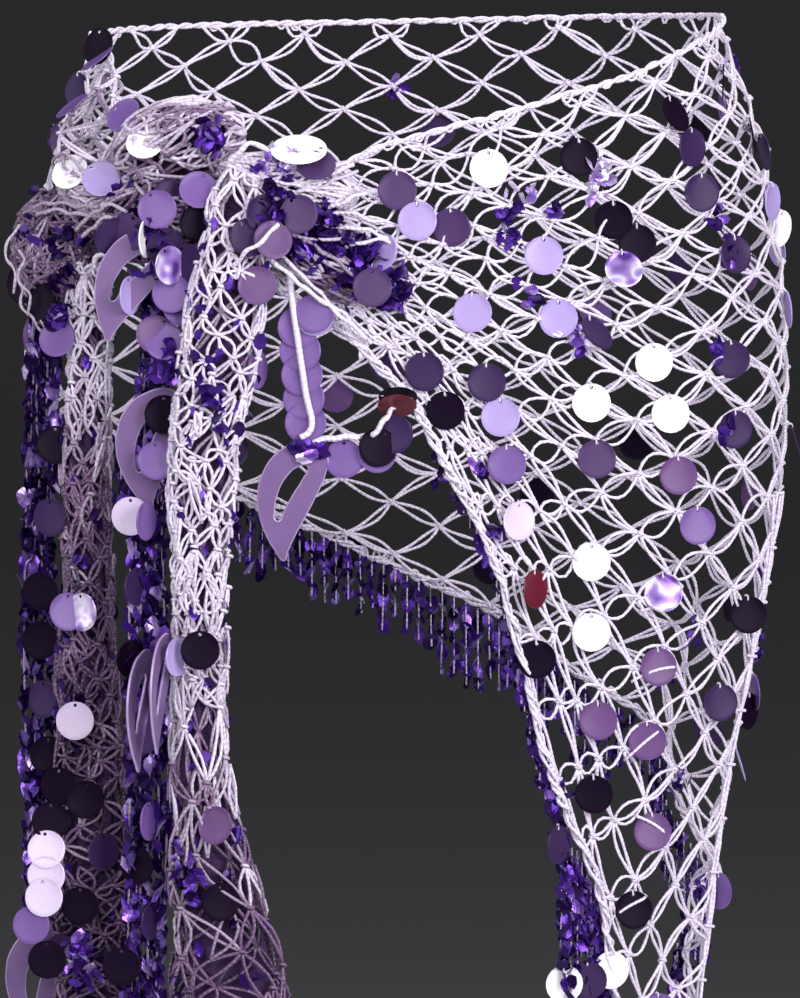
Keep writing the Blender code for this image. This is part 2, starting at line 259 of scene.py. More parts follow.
class Nodes:
    """Short ways to add and join the nodes of one material."""

    def __init__(self, name):
        self.material = bpy.data.materials.new(name)
        self.material.use_nodes = True
        self.tree = self.material.node_tree
        self.shader = self.tree.nodes["Principled BSDF"]

    def add(self, kind, inputs=(), **settings):
        node = self.tree.nodes.new(kind)
        for name, value in settings.items():
            setattr(node, name, value)
        for n, value in enumerate(inputs):
            self.join(value, node.inputs[n])
        return node

    def join(self, value, socket):
        if isinstance(value, bpy.types.NodeSocket):
            self.tree.links.new(value, socket)
        elif value is not None:
            socket.default_value = value

    def math(self, operation, *inputs):
        return self.add("ShaderNodeMath", inputs, operation=operation).outputs[0]

    def attribute(self, name, output):
        return self.add("ShaderNodeAttribute", attribute_name=name).outputs[output]

    def noise(self, scale, detail=3.0):
        node = self.add("ShaderNodeTexNoise")
        node.inputs["Scale"].default_value = scale
        node.inputs["Detail"].default_value = detail
        place = self.add("ShaderNodeTexCoord").outputs["Object"]
        self.tree.links.new(place, node.inputs["Vector"])
        return node.outputs["Fac"]

    def blend(self, share, first, second):
        node = self.add("ShaderNodeMix", data_type="RGBA")
        self.join(share, node.inputs["Factor"])
        self.join(first, node.inputs["A"])
        self.join(second, node.inputs["B"])
        return node.outputs["Result"]

    def ramp(self, share, stops):
        node = self.add("ShaderNodeValToRGB", [share])
        ramp = node.color_ramp
        while len(ramp.elements) < len(stops):
            ramp.elements.new(0.5)
        for element, (place, colour) in zip(ramp.elements, stops):
            element.position = place
            element.color = (*colour, 1.0)
        return node.outputs["Color"]

    def bump(self, height, strength, distance):
        node = self.add("ShaderNodeBump")
        node.inputs["Strength"].default_value = strength
        node.inputs["Distance"].default_value = distance
        self.tree.links.new(height, node.inputs["Height"])
        self.tree.links.new(node.outputs["Normal"], self.shader.inputs["Normal"])

    def set(self, **values):
        for name, value in values.items():
            self.join(value, self.shader.inputs[name.replace("_", " ")])
        return self.material


# Pale lilac is the yarn's own colour; the second colour is painted shade in the ply grooves plus a random
# mottle, and mauve and deep violet are painted shade
YARN_PALE = (0.85, 0.80, 0.90)
YARN_GROOVE_SHADE_AND_MOTTLE = (0.50, 0.35, 0.67)
PAINTED_SHADE_MAUVE = (0.17, 0.085, 0.20)
PAINTED_SHADE_DEEP = (0.032, 0.013, 0.055)
PLY_PITCH = 2.6


def yarn_material():
    """Shiny two-ply yarn, its tone from pale lilac (0) over mauve (1) to deep violet (2): the mauve and deep
    violet are painted shade, and the grooves between the plies are painted darker.
    """
    nodes = Nodes("yarn")
    twist = nodes.add("ShaderNodeSeparateXYZ", [nodes.attribute("twist", "Vector")])
    turn = nodes.math("MULTIPLY", twist.outputs[0], 2 * math.pi / PLY_PITCH)
    ply = nodes.math(
        "ADD",
        nodes.math("MULTIPLY", nodes.math("SINE", turn), twist.outputs[1]),
        nodes.math("MULTIPLY", nodes.math("COSINE", turn), twist.outputs[2]),
    )
    # Painted shade in the grooves between the plies, with a random mottle from the noise
    ply_groove_shade = nodes.math("MULTIPLY_ADD", ply, -0.10, 0.08)
    uneven = nodes.math("MULTIPLY", nodes.noise(190.0), 0.30)
    shade = nodes.add("ShaderNodeMath", [ply_groove_shade, uneven], operation="ADD", use_clamp=True).outputs[0]
    tone = nodes.attribute("tone", "Fac")
    pale = nodes.blend(shade, (*YARN_PALE, 1), (*YARN_GROOVE_SHADE_AND_MOTTLE, 1))
    # Painted shade: the tone blends the yarn towards mauve and then deep violet
    colour = nodes.blend(tone, pale, (*PAINTED_SHADE_MAUVE, 1))
    colour = nodes.blend(nodes.math("SUBTRACT", tone, 1.0), colour, (*PAINTED_SHADE_DEEP, 1))
    fibre = nodes.math("MULTIPLY_ADD", nodes.noise(2600.0, 2.0), 0.35, ply)
    nodes.bump(fibre, 0.55, 0.0003)
    return nodes.set(
        Base_Color=colour, Roughness=0.34, Sheen_Weight=0.2, Sheen_Roughness=0.4, Specular_IOR_Level=0.7
    )


def painted_shade_sheet_material():
    """Painted shade inside the gathered net: a dark violet, crumpled sheet that stands for the shade between
    its layers.
    """
    nodes = Nodes("deep_yarn")
    lighter = tuple(1.5 * value for value in PAINTED_SHADE_DEEP)
    colour = nodes.blend(nodes.noise(160.0), (*PAINTED_SHADE_DEEP, 1), (*lighter, 1))
    nodes.bump(nodes.noise(300.0), 0.9, 0.002)
    return nodes.set(Base_Color=colour, Roughness=0.6, Specular_IOR_Level=0.2)


def paillette_material(name, colour, roughness, gloss):
    """Glossy metallised plastic with faint waves and scuffs."""
    nodes = Nodes(name)
    deeper = tuple(0.80 * value for value in colour)
    base = nodes.blend(nodes.noise(60.0), (*colour, 1), (*deeper, 1))
    rough = nodes.math("MULTIPLY_ADD", nodes.noise(900.0), 0.10, roughness)
    nodes.bump(nodes.noise(70.0, 1.0), 0.10, 0.0005)
    return nodes.set(Base_Color=base, Roughness=rough, Specular_IOR_Level=gloss)


def shot_material():
    """Iridescent film of some paillettes: lilac and violet in soft patches, with white patches that are
    painted highlights.
    """
    nodes = Nodes("paillette_shot")
    colour = nodes.ramp(
        nodes.noise(95.0, 1.0),
        (
            (0.30, (0.10, 0.035, 0.26)),
            (0.44, (0.42, 0.27, 0.72)),
            (0.54, (0.92, 0.86, 0.98)),
            (0.62, (0.50, 0.36, 0.85)),
            (0.75, (0.16, 0.06, 0.34)),
        ),
    )
    nodes.bump(nodes.noise(120.0, 1.0), 0.3, 0.0006)
    return nodes.set(Base_Color=colour, Roughness=0.2, Metallic=0.4)


def foil_material():
    """Holographic foil: deep violet that turns blue and lilac with the way it faces; high tones paint glints
    in a pale lilac white.
    """
    nodes = Nodes("violet_foil")
    facing = nodes.add("ShaderNodeLayerWeight")
    facing.inputs["Blend"].default_value = 0.45
    tone = nodes.attribute("tone", "Fac")
    share = nodes.math(
        "ADD",
        nodes.math("MULTIPLY", facing.outputs["Facing"], 0.35),
        nodes.math("MULTIPLY_ADD", nodes.noise(240.0, 1.0), 0.30, nodes.math("MULTIPLY", tone, 0.55)),
    )
    colour = nodes.ramp(
        share,
        (
            (0.0, (0.005, 0.001, 0.018)),
            (0.32, (0.022, 0.005, 0.085)),
            (0.56, (0.085, 0.020, 0.330)),
            (0.76, (0.270, 0.120, 0.620)),
            # Painted highlight: the palest stop, reached by high tones
            (0.94, (0.820, 0.700, 0.970)),
        ),
    )
    nodes.bump(nodes.noise(420.0, 1.0), 0.4, 0.0006)
    return nodes.set(Base_Color=colour, Roughness=0.24, Metallic=0.7)


def pendant_material(name, colour, roughness):
    """Lilac plastic with a soft mottle and fine scuffs."""
    nodes = Nodes(name)
    deeper = tuple(0.70 * value for value in colour)
    base = nodes.blend(nodes.noise(60.0), (*colour, 1), (*deeper, 1))
    rough = nodes.math("MULTIPLY_ADD", nodes.noise(700.0), 0.15, roughness)
    nodes.bump(nodes.noise(110.0, 2.0), 0.15, 0.0004)
    return nodes.set(Base_Color=base, Roughness=rough, Metallic=0.15, Coat_Weight=0.3, Coat_Roughness=0.15)


# Finishes of the paillettes: colour, roughness, gloss. They are lit and shaded copies of one purple plastic:
# mid is its plain colour, white a painted glare, milk and pale painted pale reflections, mauve, grape and
# plum painted shade and dark reflections, dark a painted dark reflection and red a painted red reflection.
PAILLETTE_LIT_COPIES = {
    "white": ((0.97, 0.95, 0.99), 0.16, 0.40),
    "milk": ((0.74, 0.62, 0.85), 0.22, 0.35),
    "pale": ((0.44, 0.34, 0.70), 0.28, 0.35),
    "mid": ((0.18, 0.095, 0.33), 0.32, 0.30),
    "mauve": ((0.14, 0.062, 0.205), 0.32, 0.28),
    "grape": ((0.075, 0.036, 0.130), 0.34, 0.22),
    "plum": ((0.038, 0.018, 0.080), 0.36, 0.16),
    "dark": ((0.007, 0.002, 0.013), 0.42, 0.07),
    "red": ((0.12, 0.006, 0.020), 0.32, 0.30),
}
MATERIALS = {
    "yarn": yarn_material(),
    "deep_yarn": painted_shade_sheet_material(),
    "shot": shot_material(),
    "foil": foil_material(),
    "pendant": pendant_material("pendant", (0.225, 0.132, 0.33), 0.28),
    # Paler copy of the pendant plastic for its bevelled rim, a painted highlight
    "pendant_edge": pendant_material("pendant_edge", (0.45, 0.33, 0.60), 0.22),
}
for tone_name, tone_finish in PAILLETTE_LIT_COPIES.items():
    MATERIALS[tone_name] = paillette_material("paillette_" + tone_name, *tone_finish)

# ---------------------------------------------------------------- gathering many small shapes

SHARP_ANGLE = math.radians(42)


def add_object(name, data):
    made = bpy.data.objects.new(name, data)
    bpy.context.scene.collection.objects.link(made)
    return made


class Batch:
    """Many small shapes gathered into one mesh, each with its own finish and tone."""

    def __init__(self, name):
        self.name = name
        self.points, self.twists, self.tones = [], [], []
        self.faces, self.finishes = [], []
        self.size = 0

    def add(self, points, faces, finish, tone=0.0, twists=None):
        points = np.asarray(points, float)
        self.points.append(points)
        self.twists.append(np.zeros_like(points) if twists is None else twists)
        self.tones.append(np.full(len(points), tone))
        start = self.size
        self.faces.extend(tuple(start + n for n in face) for face in faces)
        self.finishes.extend([finish] * len(faces))
        self.size += len(points)

    def build(self, crisp=False):
        """The gathered shapes as one object with a slot for each finish that it uses."""
        mesh = bpy.data.meshes.new(self.name)
        points = np.concatenate(self.points) * MM
        mesh.from_pydata(points.tolist(), [], self.faces)
        names = sorted(set(self.finishes))
        for name in names:
            mesh.materials.append(MATERIALS[name])
        mesh.polygons.foreach_set("material_index", [names.index(name) for name in self.finishes])
        mesh.shade_smooth()
        if crisp:
            mesh.set_sharp_from_angle(angle=SHARP_ANGLE)
        twist = mesh.attributes.new("twist", "FLOAT_VECTOR", "POINT")
        twist.data.foreach_set("vector", np.concatenate(self.twists).ravel())
        tone = mesh.attributes.new("tone", "FLOAT", "POINT")
        tone.data.foreach_set("value", np.concatenate(self.tones))
        return add_object(self.name, mesh)


UPWARD = (0, 0, 1)
FRONTWARD = (0, -1, 0)


def unit(vectors):
    return vectors / np.maximum(np.linalg.norm(vectors, axis=-1, keepdims=True), 1e-9)


def even_turns(count):
    """Even turns round a circle, in radians."""
    return np.arange(count) * 2 * math.pi / count


def joined_rings(starts, sides):
    """Faces between rings of points, each ring to the next, from where each ring starts."""
    faces = []
    for here, there in zip(starts, starts[1:]):
        for n in range(sides):
            after = (n + 1) % sides
            faces.append((here + n, there + n, there + after, here + after))
    return faces


def ring_faces(rings, sides, closed=False):
    """Faces that join each ring of points to the next, with the first joined to the last or both capped."""
    faces = []
    for level in range(rings if closed else rings - 1):
        low, high = level * sides, (level + 1) % rings * sides
        for n in range(sides):
            after = (n + 1) % sides
            faces.append((low + n, low + after, high + after, high + n))
    if not closed:
        faces.append(tuple(reversed(range(sides))))
        faces.append(tuple(range((rings - 1) * sides, rings * sides)))
    return faces


# Sides of the yarn's strands, of hidden ones and threads, of loose ones and of the white cord
STRAND_SIDES, THIN_SIDES, LOOSE_SIDES, CORD_SIDES = 5, 4, 6, 8


def tube(batch, path, outward, radius, tone=0.0, sides=STRAND_SIDES, closed=False):
    """Round strand along a path; outward is any direction that the path never runs along."""
    path = np.asarray(path, float)
    count = len(path)
    if closed:
        along = np.roll(path, -1, axis=0) - np.roll(path, 1, axis=0)
    else:
        along = np.gradient(path, axis=0)
    along = unit(along)
    across = unit(np.cross(along, outward))
    up = np.cross(across, along)
    turn = even_turns(sides)
    radius = np.broadcast_to(radius, (count,))[:, None, None]
    ring = across[:, None, :] * np.cos(turn)[None, :, None] + up[:, None, :] * np.sin(turn)[None, :, None]
    points = (path[:, None, :] + radius * ring).reshape(-1, 3)
    twist = (np.repeat(distances(path), sides), np.tile(np.cos(turn), count), np.tile(np.sin(turn), count))
    batch.add(points, ring_faces(count, sides, closed), "yarn", tone, np.stack(twist, axis=-1))


WRAP_POINTS = 9
# No knot's axis runs along this direction
OFF_AXIS = (0.31, 0.17, 0.93)


def wrap(batch, centre, axis, radius, thickness, tone=0.0, squash=1.0):
    """Ring of yarn round a point: one turn of a knot."""
    axis = unit(np.asarray(axis, float))
    side = unit(np.cross(axis, OFF_AXIS))
    other = np.cross(axis, side)
    turn = even_turns(WRAP_POINTS)
    path = centre + radius * (np.cos(turn)[:, None] * side + squash * np.sin(turn)[:, None] * other)
    tube(batch, path, axis, thickness, tone, closed=True)


PAILLETTE_RADIUS = 9.0
PAILLETTE_SIDES = 24
PAILLETTE_WALL = 0.35
HOLE_RADIUS = 0.09
HOLE_UP = 0.80

# Section of a paillette from its hole to its rim: share of the way, and how far it stands forward
PAILLETTE_SECTION = ((0.0, 0.0), (0.86, 0.12), (0.93, 0.36), (1.0, 0.08))


def paillette(batch, hang, outward, down, tone, radius=PAILLETTE_RADIUS):
    """Round paillette hung by the hole near its top, its face turned outward."""
    outward = unit(np.asarray(outward, float))
    down = unit(down - outward * np.dot(down, outward))
    side = np.cross(down, outward)
    centre = hang + down * HOLE_UP * radius
    turn = even_turns(PAILLETTE_SIDES)
    around = np.cos(turn)[:, None] * side - np.sin(turn)[:, None] * down
    points = []
    for wall in (0.0, -PAILLETTE_WALL):
        for share, forward in PAILLETTE_SECTION:
            hub = -down * HOLE_UP * (1 - share)
            reach = HOLE_RADIUS * (1 - share) + share
            points.append(centre + radius * (hub + reach * around) + outward * (forward + wall))
    rings = len(PAILLETTE_SECTION)
    starts = [PAILLETTE_SIDES * ring for ring in (*range(rings), *range(2 * rings - 1, rings - 1, -1))]
    faces = joined_rings(starts + starts[:1], PAILLETTE_SIDES)
    batch.add(np.concatenate(points), faces, tone)


LOOP_HEIGHT, LOOP_DEPTH, LOOP_YARN, LOOP_TONE = 1.5, 1.2, 0.5, 0.1


def hanging_loop(batch, middle, outward):
    """Small loop of yarn that holds a paillette by its hole."""
    turn = np.linspace(-0.2 * math.pi, 1.2 * math.pi, 7)
    side = unit(np.cross(outward, UPWARD))
    path = middle + np.outer(np.sin(turn) * LOOP_HEIGHT + LOOP_HEIGHT * 0.4, UPWARD)
    path = path + np.outer(np.cos(turn) * LOOP_DEPTH, outward + 0.3 * side)
    tube(batch, path, side, LOOP_YARN, LOOP_TONE)


FOIL_SIDES = 7
FOIL_LONG, FOIL_WIDE = 1.25, 0.85
FOIL_CUP, FOIL_WALL = 0.28, 0.5
# Highest foil tone, which paints the palest glints
GLINT_TONE_CAP = 1.5


def foil(batch, centre, outward, long_way, radius, tone, chance):
    """Small crumpled foil sequin, longer than wide."""
    outward = unit(np.asarray(outward, float))
    long_way = unit(long_way - outward * np.dot(long_way, outward))
    side = np.cross(long_way, outward)
    turn = even_turns(FOIL_SIDES)
    reach = radius * np.array([chance.uniform(0.8, 1.1) for _ in turn])
    bent = radius * np.array([chance.uniform(-0.22, 0.22) for _ in turn])
    rim = (
        centre
        + (reach * np.cos(turn) * FOIL_LONG)[:, None] * long_way
        + (reach * np.sin(turn) * FOIL_WIDE)[:, None] * side
        + bent[:, None] * outward
    )
    cup = FOIL_CUP * radius
    points = np.concatenate([rim, [centre + outward * cup, centre + outward * (cup - FOIL_WALL)]])
    faces = []
    for n in range(FOIL_SIDES):
        m = (n + 1) % FOIL_SIDES
        faces.append((n, m, FOIL_SIDES))
        faces.append((m, n, FOIL_SIDES + 1))
    batch.add(points, faces, "foil", tone)


def downward(tilt):
    """Straight down, turned by a tilt in the plane of view, in degrees."""
    turn = math.radians(tilt)
    return np.array([math.sin(turn), 0.0, -math.cos(turn)])


def tilted(outward, lean, swing):
    """Outward turned by a swing about the vertical and leant up or down, in degrees."""
    swing, lean = math.radians(swing), math.radians(lean)
    x, y, z = outward
    x, y = x * math.cos(swing) - y * math.sin(swing), x * math.sin(swing) + y * math.cos(swing)
    flat = math.hypot(x, y)
    return np.array([x * math.cos(lean), y * math.cos(lean), z + flat * math.sin(lean)])


# ---------------------------------------------------------------- the net

# Edges of the flat triangle in counts of links: its front edge is one rise line, its back edge one
# fall line, and its long edge one row
FRONT_EDGE_RISE = -7.3
BACK_EDGE_FALL = 10.2
LONG_EDGE_ROW = -16.5
FRONT_EDGE_FALLS = range(10, -5, -1)
EDGE_LINK = 35.0
FLAT_ALONG, FLAT_DOWN = 22.0, 16.0

# Knots of the worn net at the front: rise, fall, length round from the front, height
FRONT_KNOTS = (
    (-2, -1, 51, -202),
    (-2, 0, 66, -219),
    (-3, 1, 70, -248),
    (-3, 3, 111, -302),
    (-5, 4, 95, -343),
    (-5, 5, 116, -380),
    (-6, 6, 116, -416),
    (-4, 6, 156, -398),
    (0, -1, 88, -195),
    (0, 1, 129, -229),
    (-1, 2, 137, -261),
    (-2, 3, 133, -296),
    (-3, 5, 154, -357),
    (0, 3, 179, -269),
    (-2, 5, 176, -344),
    (2, -2, 98, -163),
    (2, 0, 148, -191),
    (4, 0, 194, -166),
    (2, 1, 177, -211),
    (4, -4, 85, -126),
    (4, -3, 115, -132),
    (3, -1, 144, -165),
    (5, -3, 136, -117),
    (5, -1, 191, -143),
    (6, -4, 132, -102),
    (7, -3, 188, -97),
)
# Long edge: count of half cells along it, and length round from the front
LONG_EDGE_PACE = ((-8.0, -64.0), (-4.0, 8.0), (0.0, 84.0), (4.0, 181.0), (6.0, 232.0))
# Knots known at the mouth, as shares of its height, and those of the side and back, as counts
MOUTH_SHARES = (0.35, 0.7, 1.0)
SIDE_START, SIDE_END, SIDE_STEP = 8.0, 28.0, 4.0
SIDE_ROWS = 5


def lattice(along_count, down_count):
    """Rise and fall counts from counts along the long edge and down from it."""
    return (along_count - down_count) / 2, (along_count + down_count) / 2


def edge_heights(angle):
    """Heights of the net's top and bottom edge at an angle."""
    return tuple(float(edge(which, angle)) for which in ("top", "bottom"))


def long_edge_knots():
    """Knots of the long edge over the front, which is worn as the top border."""
    for count, length in LONG_EDGE_PACE:
        yield (*lattice(count, LONG_EDGE_ROW), length, float(edge("top", ring_angle(length))))


def front_edge_knots(line, run):
    """Knots of the front edge, at the pace of its links along its worn line."""
    for fall in FRONT_EDGE_FALLS:
        length = (BACK_EDGE_FALL - fall) * EDGE_LINK
        if length < run[-1]:
            place = [float(np.interp(length, run, line[:, n])) for n in (0, 1)]
            yield (FRONT_EDGE_RISE, fall, *place)


def mouth_knots(run):
    """Knots where the net runs into the knot, between its long edge and its front edge."""
    mouth_top = lattice(LONG_EDGE_PACE[0][0], LONG_EDGE_ROW)
    mouth_foot = (FRONT_EDGE_RISE, BACK_EDGE_FALL - run[-1] / EDGE_LINK)
    top, foot = edge_heights(MOUTH_ANGLE)
    for share in MOUTH_SHARES:
        rise, fall = (high + share * (low - high) for high, low in zip(mouth_top, mouth_foot))
        yield (rise, fall, float(ring_length(MOUTH_ANGLE)), top + share * (foot - top))


def side_knots():
    """Knots of the sides and back, in even rows between the two borders."""
    first = LONG_EDGE_PACE[-1]
    pace = (float(ring_length(HIP_END_ANGLE)) - first[1]) / (SIDE_END - first[0])
    for count in np.arange(SIDE_START, SIDE_END + 0.1, SIDE_STEP):
        length = first[1] + pace * (count - first[0])
        top, foot = edge_heights(ring_angle(length))
        last_row = 2 * BACK_EDGE_FALL - count
        for n in range(SIDE_ROWS):
            share = n / (SIDE_ROWS - 1)
            row = LONG_EDGE_ROW + share * (last_row - LONG_EDGE_ROW)
            yield (*lattice(count, row), length, top + share * (foot - top))


def known_knots():
    """Rows of rise, fall, length round and height that the whole worn net passes through."""
    angles = np.arange(APEX_ANGLE, MOUTH_ANGLE - 0.1, -0.5)
    line = np.stack([ring_length(angles), edge("bottom", angles)], axis=-1)
    run = distances(line)
    return np.array(
        [*FRONT_KNOTS, *long_edge_knots(), *front_edge_knots(line, run), *mouth_knots(run), *side_knots()]
    )


DRAPE_STIFFNESS = 2.0


class Drape:
    """Smooth map from counts of links to the place where that knot hangs, through the known knots."""

    def __init__(self, rows):
        self.centres = self.flat(rows[:, 0], rows[:, 1])
        bend = self.bend(self.centres)
        bend[np.diag_indices(len(rows))] += DRAPE_STIFFNESS
        plane = np.column_stack([np.ones(len(rows)), self.centres])
        system = np.block([[bend, plane], [plane.T, np.zeros((3, 3))]])
        wanted = np.concatenate([rows[:, 2:4], np.zeros((3, 2))])
        self.weights = np.linalg.solve(system, wanted)

    @staticmethod
    def flat(rise, fall):
        return np.stack([(rise + fall) * FLAT_ALONG, (fall - rise) * FLAT_DOWN], axis=-1) / 100

    def bend(self, places):
        gap = np.linalg.norm(places[:, None, :] - self.centres[None, :, :], axis=-1)
        return gap**2 * np.log(np.maximum(gap, 1e-6))

    def __call__(self, rise, fall):
        places = self.flat(np.atleast_1d(rise).astype(float), np.atleast_1d(fall).astype(float))
        terms = np.column_stack([self.bend(places), np.ones(len(places)), places])
        return terms @ self.weights


# How far out the net lies, and how far it rises to its borders over the last stretch
NET_OUT = PANEL_OUT + WALL / 2
BORDER_LIFT = 2.6
NET_EDGE_REACH = 7.0
STRAND_RADIUS = 0.78
STRAND_UNEVEN = 0.14
STRAND_STEP = 4.0
KNOT_RADIUS = 1.5
# Length of a strand that rises, and how far strands and knots bow, wave, sag and stray
RISE_STRAND = 26.5
RISE_MOST_BOW = 5.4
FALL_BOW = 1.35
WAVE = 0.45
THIRD_STRANDS = 0.4
LEAST_SAG, MOST_SAG = 1.2, 3.0
SWING = 1.8
KNOT_OUTS = (-0.9, 1.3)

NET_PANELS = {
    "net_front_drape": (MOUTH_ANGLE, 63.0),
    "net_left_side": (63.0, 129.0),
    "net_back": (129.0, 249.0),
    "net_right_hip": (249.0, HIP_END_ANGLE),
}
EDGE_HALVINGS = 14
EDGE_MARGIN = 1.0
# A link cut shorter than this by the net's edge is left out
LEAST_SHARE = 0.12


def inside(place):
    """Whether a length round and a height lie on the net, a little in from its edges."""
    angle = ring_angle(place[0])
    if not MOUTH_ANGLE <= angle <= HIP_END_ANGLE:
        return False
    return edge("bottom", angle) + EDGE_MARGIN <= place[1] <= edge("top", angle) - EDGE_MARGIN


def to_edge(start, end):
    """Share of the way from a knot inside the net to one outside it at which its edge lies."""
    low, high = 0.0, 1.0
    for _ in range(EDGE_HALVINGS):
        half = (low + high) / 2
        if inside(start + half * (end - start)):
            low = half
        else:
            high = half
    return low


def edge_lift(angles, heights):
    """How far strands rise to meet the border cord near the net's edges."""
    gap = np.minimum(edge("top", angles) - heights, heights - edge("bottom", angles))
    return BORDER_LIFT * np.clip(1 - gap / NET_EDGE_REACH, 0, 1) ** 2


class Knot:
    """A knot of the net: where it hangs and how far it stands out."""

    def __init__(self, place, chance):
        self.place = place + np.array([chance.uniform(-SWING, SWING), chance.uniform(-SWING, SWING)])
        self.out = chance.uniform(*KNOT_OUTS)


def net_strand(batch, start, end, share, bow, side, sag, lift):
    """One strand of a link, bowed to a side in the cloth's surface, with the sag of the whole link."""
    gap = end.place - start.place
    span = np.linalg.norm(gap)
    across = np.array([-gap[1], gap[0]]) / max(span, 1e-6)
    steps = clamped(round(span * share / STRAND_STEP) + 1, 4, 8)
    t = np.linspace(0, share, steps + 1)
    shape = np.clip(np.sin(math.pi * t / max(share, 1e-6)), 0, 1) ** 0.85
    off = (bow * side + sag) * shape + WAVE * side * np.sin(2 * math.pi * t)
    places = start.place + t[:, None] * gap + off[:, None] * across
    angles = ring_angle(places[:, 0])
    outs = NET_OUT + (1 - t) * start.out + t * end.out + lift * shape
    outs = outs + edge_lift(angles, places[:, 1])
    points, outward = worn(angles, places[:, 1], outs)
    uneven = 1 + STRAND_UNEVEN * np.sin(2.3 * np.arange(len(t)) + 40 * start.out + side)
    tube(batch, points, outward, STRAND_RADIUS * uneven)


def net_link(batch, start, end, share, rising, chance):
    """A link between two knots: two nearly parallel strands where it falls, an open loop where it rises."""
    span = np.linalg.norm(end.place - start.place)
    sag = chance.uniform(-LEAST_SAG, MOST_SAG) * math.copysign(1, start.place[0] - end.place[0])
    if not rising:
        bow = FALL_BOW * chance.uniform(0.7, 1.3)
        net_strand(batch, start, end, share, bow, 1, sag, 0.3)
        net_strand(batch, start, end, share, bow, -1, sag, -0.3)
        return
    spare = max(RISE_STRAND * chance.uniform(0.95, 1.05) / max(span, 1.0) - 1, 0.02)
    # A shallow bow's height, from how much longer the strand is than the span
    bow = min(span * math.sqrt(0.375 * spare), RISE_MOST_BOW)
    net_strand(batch, start, end, share, bow, 1, sag, 0.5)
    net_strand(batch, start, end, share, bow * 0.9, -1, sag, -0.4)
    if chance.random() < THIRD_STRANDS:
        net_strand(batch, start, end, share, bow * chance.uniform(0.15, 0.45), -1, sag, 0.9)


def net_knot(batch, knot, along):
    """The knot itself: two turns of yarn across the strands that meet there."""
    angle = ring_angle(knot.place[0])
    out = NET_OUT + knot.out + edge_lift(angle, knot.place[1])
    centre, outward = worn(angle, knot.place[1], out)
    wrap(batch, centre, along, KNOT_RADIUS, STRAND_RADIUS, squash=0.9)
    crossed = np.cross(along, outward) + 0.4 * along
    wrap(batch, centre + outward * 0.4, crossed, KNOT_RADIUS, STRAND_RADIUS)


def direction(start, end):
    """The way the worn net runs from one knot to another."""
    (near, _), (far, _) = (worn(ring_angle(k.place[0]), k.place[1], NET_OUT) for k in (start, end))
    return unit(far - near)


def panel_of(place):
    """Name of the net's stretch that a length round and a height lie in."""
    angle = ring_angle(place[0])
    for name, (start, end) in NET_PANELS.items():
        if start <= angle < end:
            return name
    return "net_right_hip"


RIDGE_ANGLE = 79.0
RIDGE_TOP = -225.0
RIDGE_STRANDS = 7
RIDGE_LINK = 26.0
RIDGE_PARTING = 40.0
RIDGE_OUT = 1.2
RIDGE_STEP = 3.0
RIDGE_KNOT_RADIUS = 2.3


def net_ridge(batch, chance):
    """Strands of the net drawn together along the deepest fold of the wearer's left side."""
    foot = float(edge("bottom", RIDGE_ANGLE))
    heights = np.arange(RIDGE_TOP, foot, -RIDGE_STEP)
    knots = np.abs(np.sin(math.pi * (heights - RIDGE_TOP) / RIDGE_LINK))
    for n in range(RIDGE_STRANDS):
        side = n - (RIDGE_STRANDS - 1) / 2
        wander = np.sin(0.045 * heights + 1.9 * n) + 0.5 * np.sin(0.11 * heights + n)
        parted = 1.7 * np.clip(1 - (RIDGE_TOP - heights) / RIDGE_PARTING, 0, 1) ** 2
        angles = RIDGE_ANGLE + side * (0.45 * knots + parted) + 0.5 * wander
        outs = NET_OUT + RIDGE_OUT + 0.9 * np.cos(2.1 * n + 0.08 * heights)
        points, outward = worn(angles, heights, outs)
        tube(batch, points, outward, STRAND_RADIUS * chance.uniform(0.9, 1.15))
    for height in np.arange(RIDGE_TOP, foot, -RIDGE_LINK):
        centre, _ = worn(RIDGE_ANGLE, height, NET_OUT + RIDGE_OUT)
        wrap(batch, centre, (0.1, 0.1, 1), RIDGE_KNOT_RADIUS, STRAND_RADIUS)


NET_SEED = 11
RISE_COUNTS, FALL_COUNTS = range(-8, 27), range(-16, 12)


def cut_link(batches, first, second, rising, chance):
    """The link between two neighbouring knots, up to the net's edge where that crosses it."""
    if not inside(first.place):
        first, second = second, first
    if not inside(first.place):
        return
    share = 1.0 if inside(second.place) else to_edge(first.place, second.place)
    if share < LEAST_SHARE:
        return
    middle = first.place + share / 2 * (second.place - first.place)
    net_link(batches[panel_of(middle)], first, second, share, rising, chance)


def make_net():
    """All the net's links and knots, each in the stretch that it lies in, and the knots by count."""
    chance = random.Random(NET_SEED)
    drape = Drape(known_knots())
    counts = [(rise, fall) for rise in RISE_COUNTS for fall in FALL_COUNTS]
    places = drape(np.array([c[0] for c in counts]), np.array([c[1] for c in counts]))
    knots = {count: Knot(place, chance) for count, place in zip(counts, places)}
    batches = {name: Batch(name + "_yarn") for name in NET_PANELS}
    held = {}
    for (rise, fall), knot in knots.items():
        for other_count, rising in (((rise + 1, fall), True), ((rise, fall + 1), False)):
            if other_count in knots:
                cut_link(batches, knot, knots[other_count], rising, chance)
        if inside(knot.place):
            held[(rise, fall)] = knot
            ahead = knots.get((rise, fall + 1), knot)
            net_knot(batches[panel_of(knot.place)], knot, direction(knot, ahead))
    net_ridge(batches["net_left_side"], chance)
    return batches, held


# ---------------------------------------------------------------- borders

BORDER_STEP = 1.8
BORDER_PLAIN_END, BORDER_LOOP_STEPS = 6, 4
BORDER_LOOP_RADIUS = 0.65

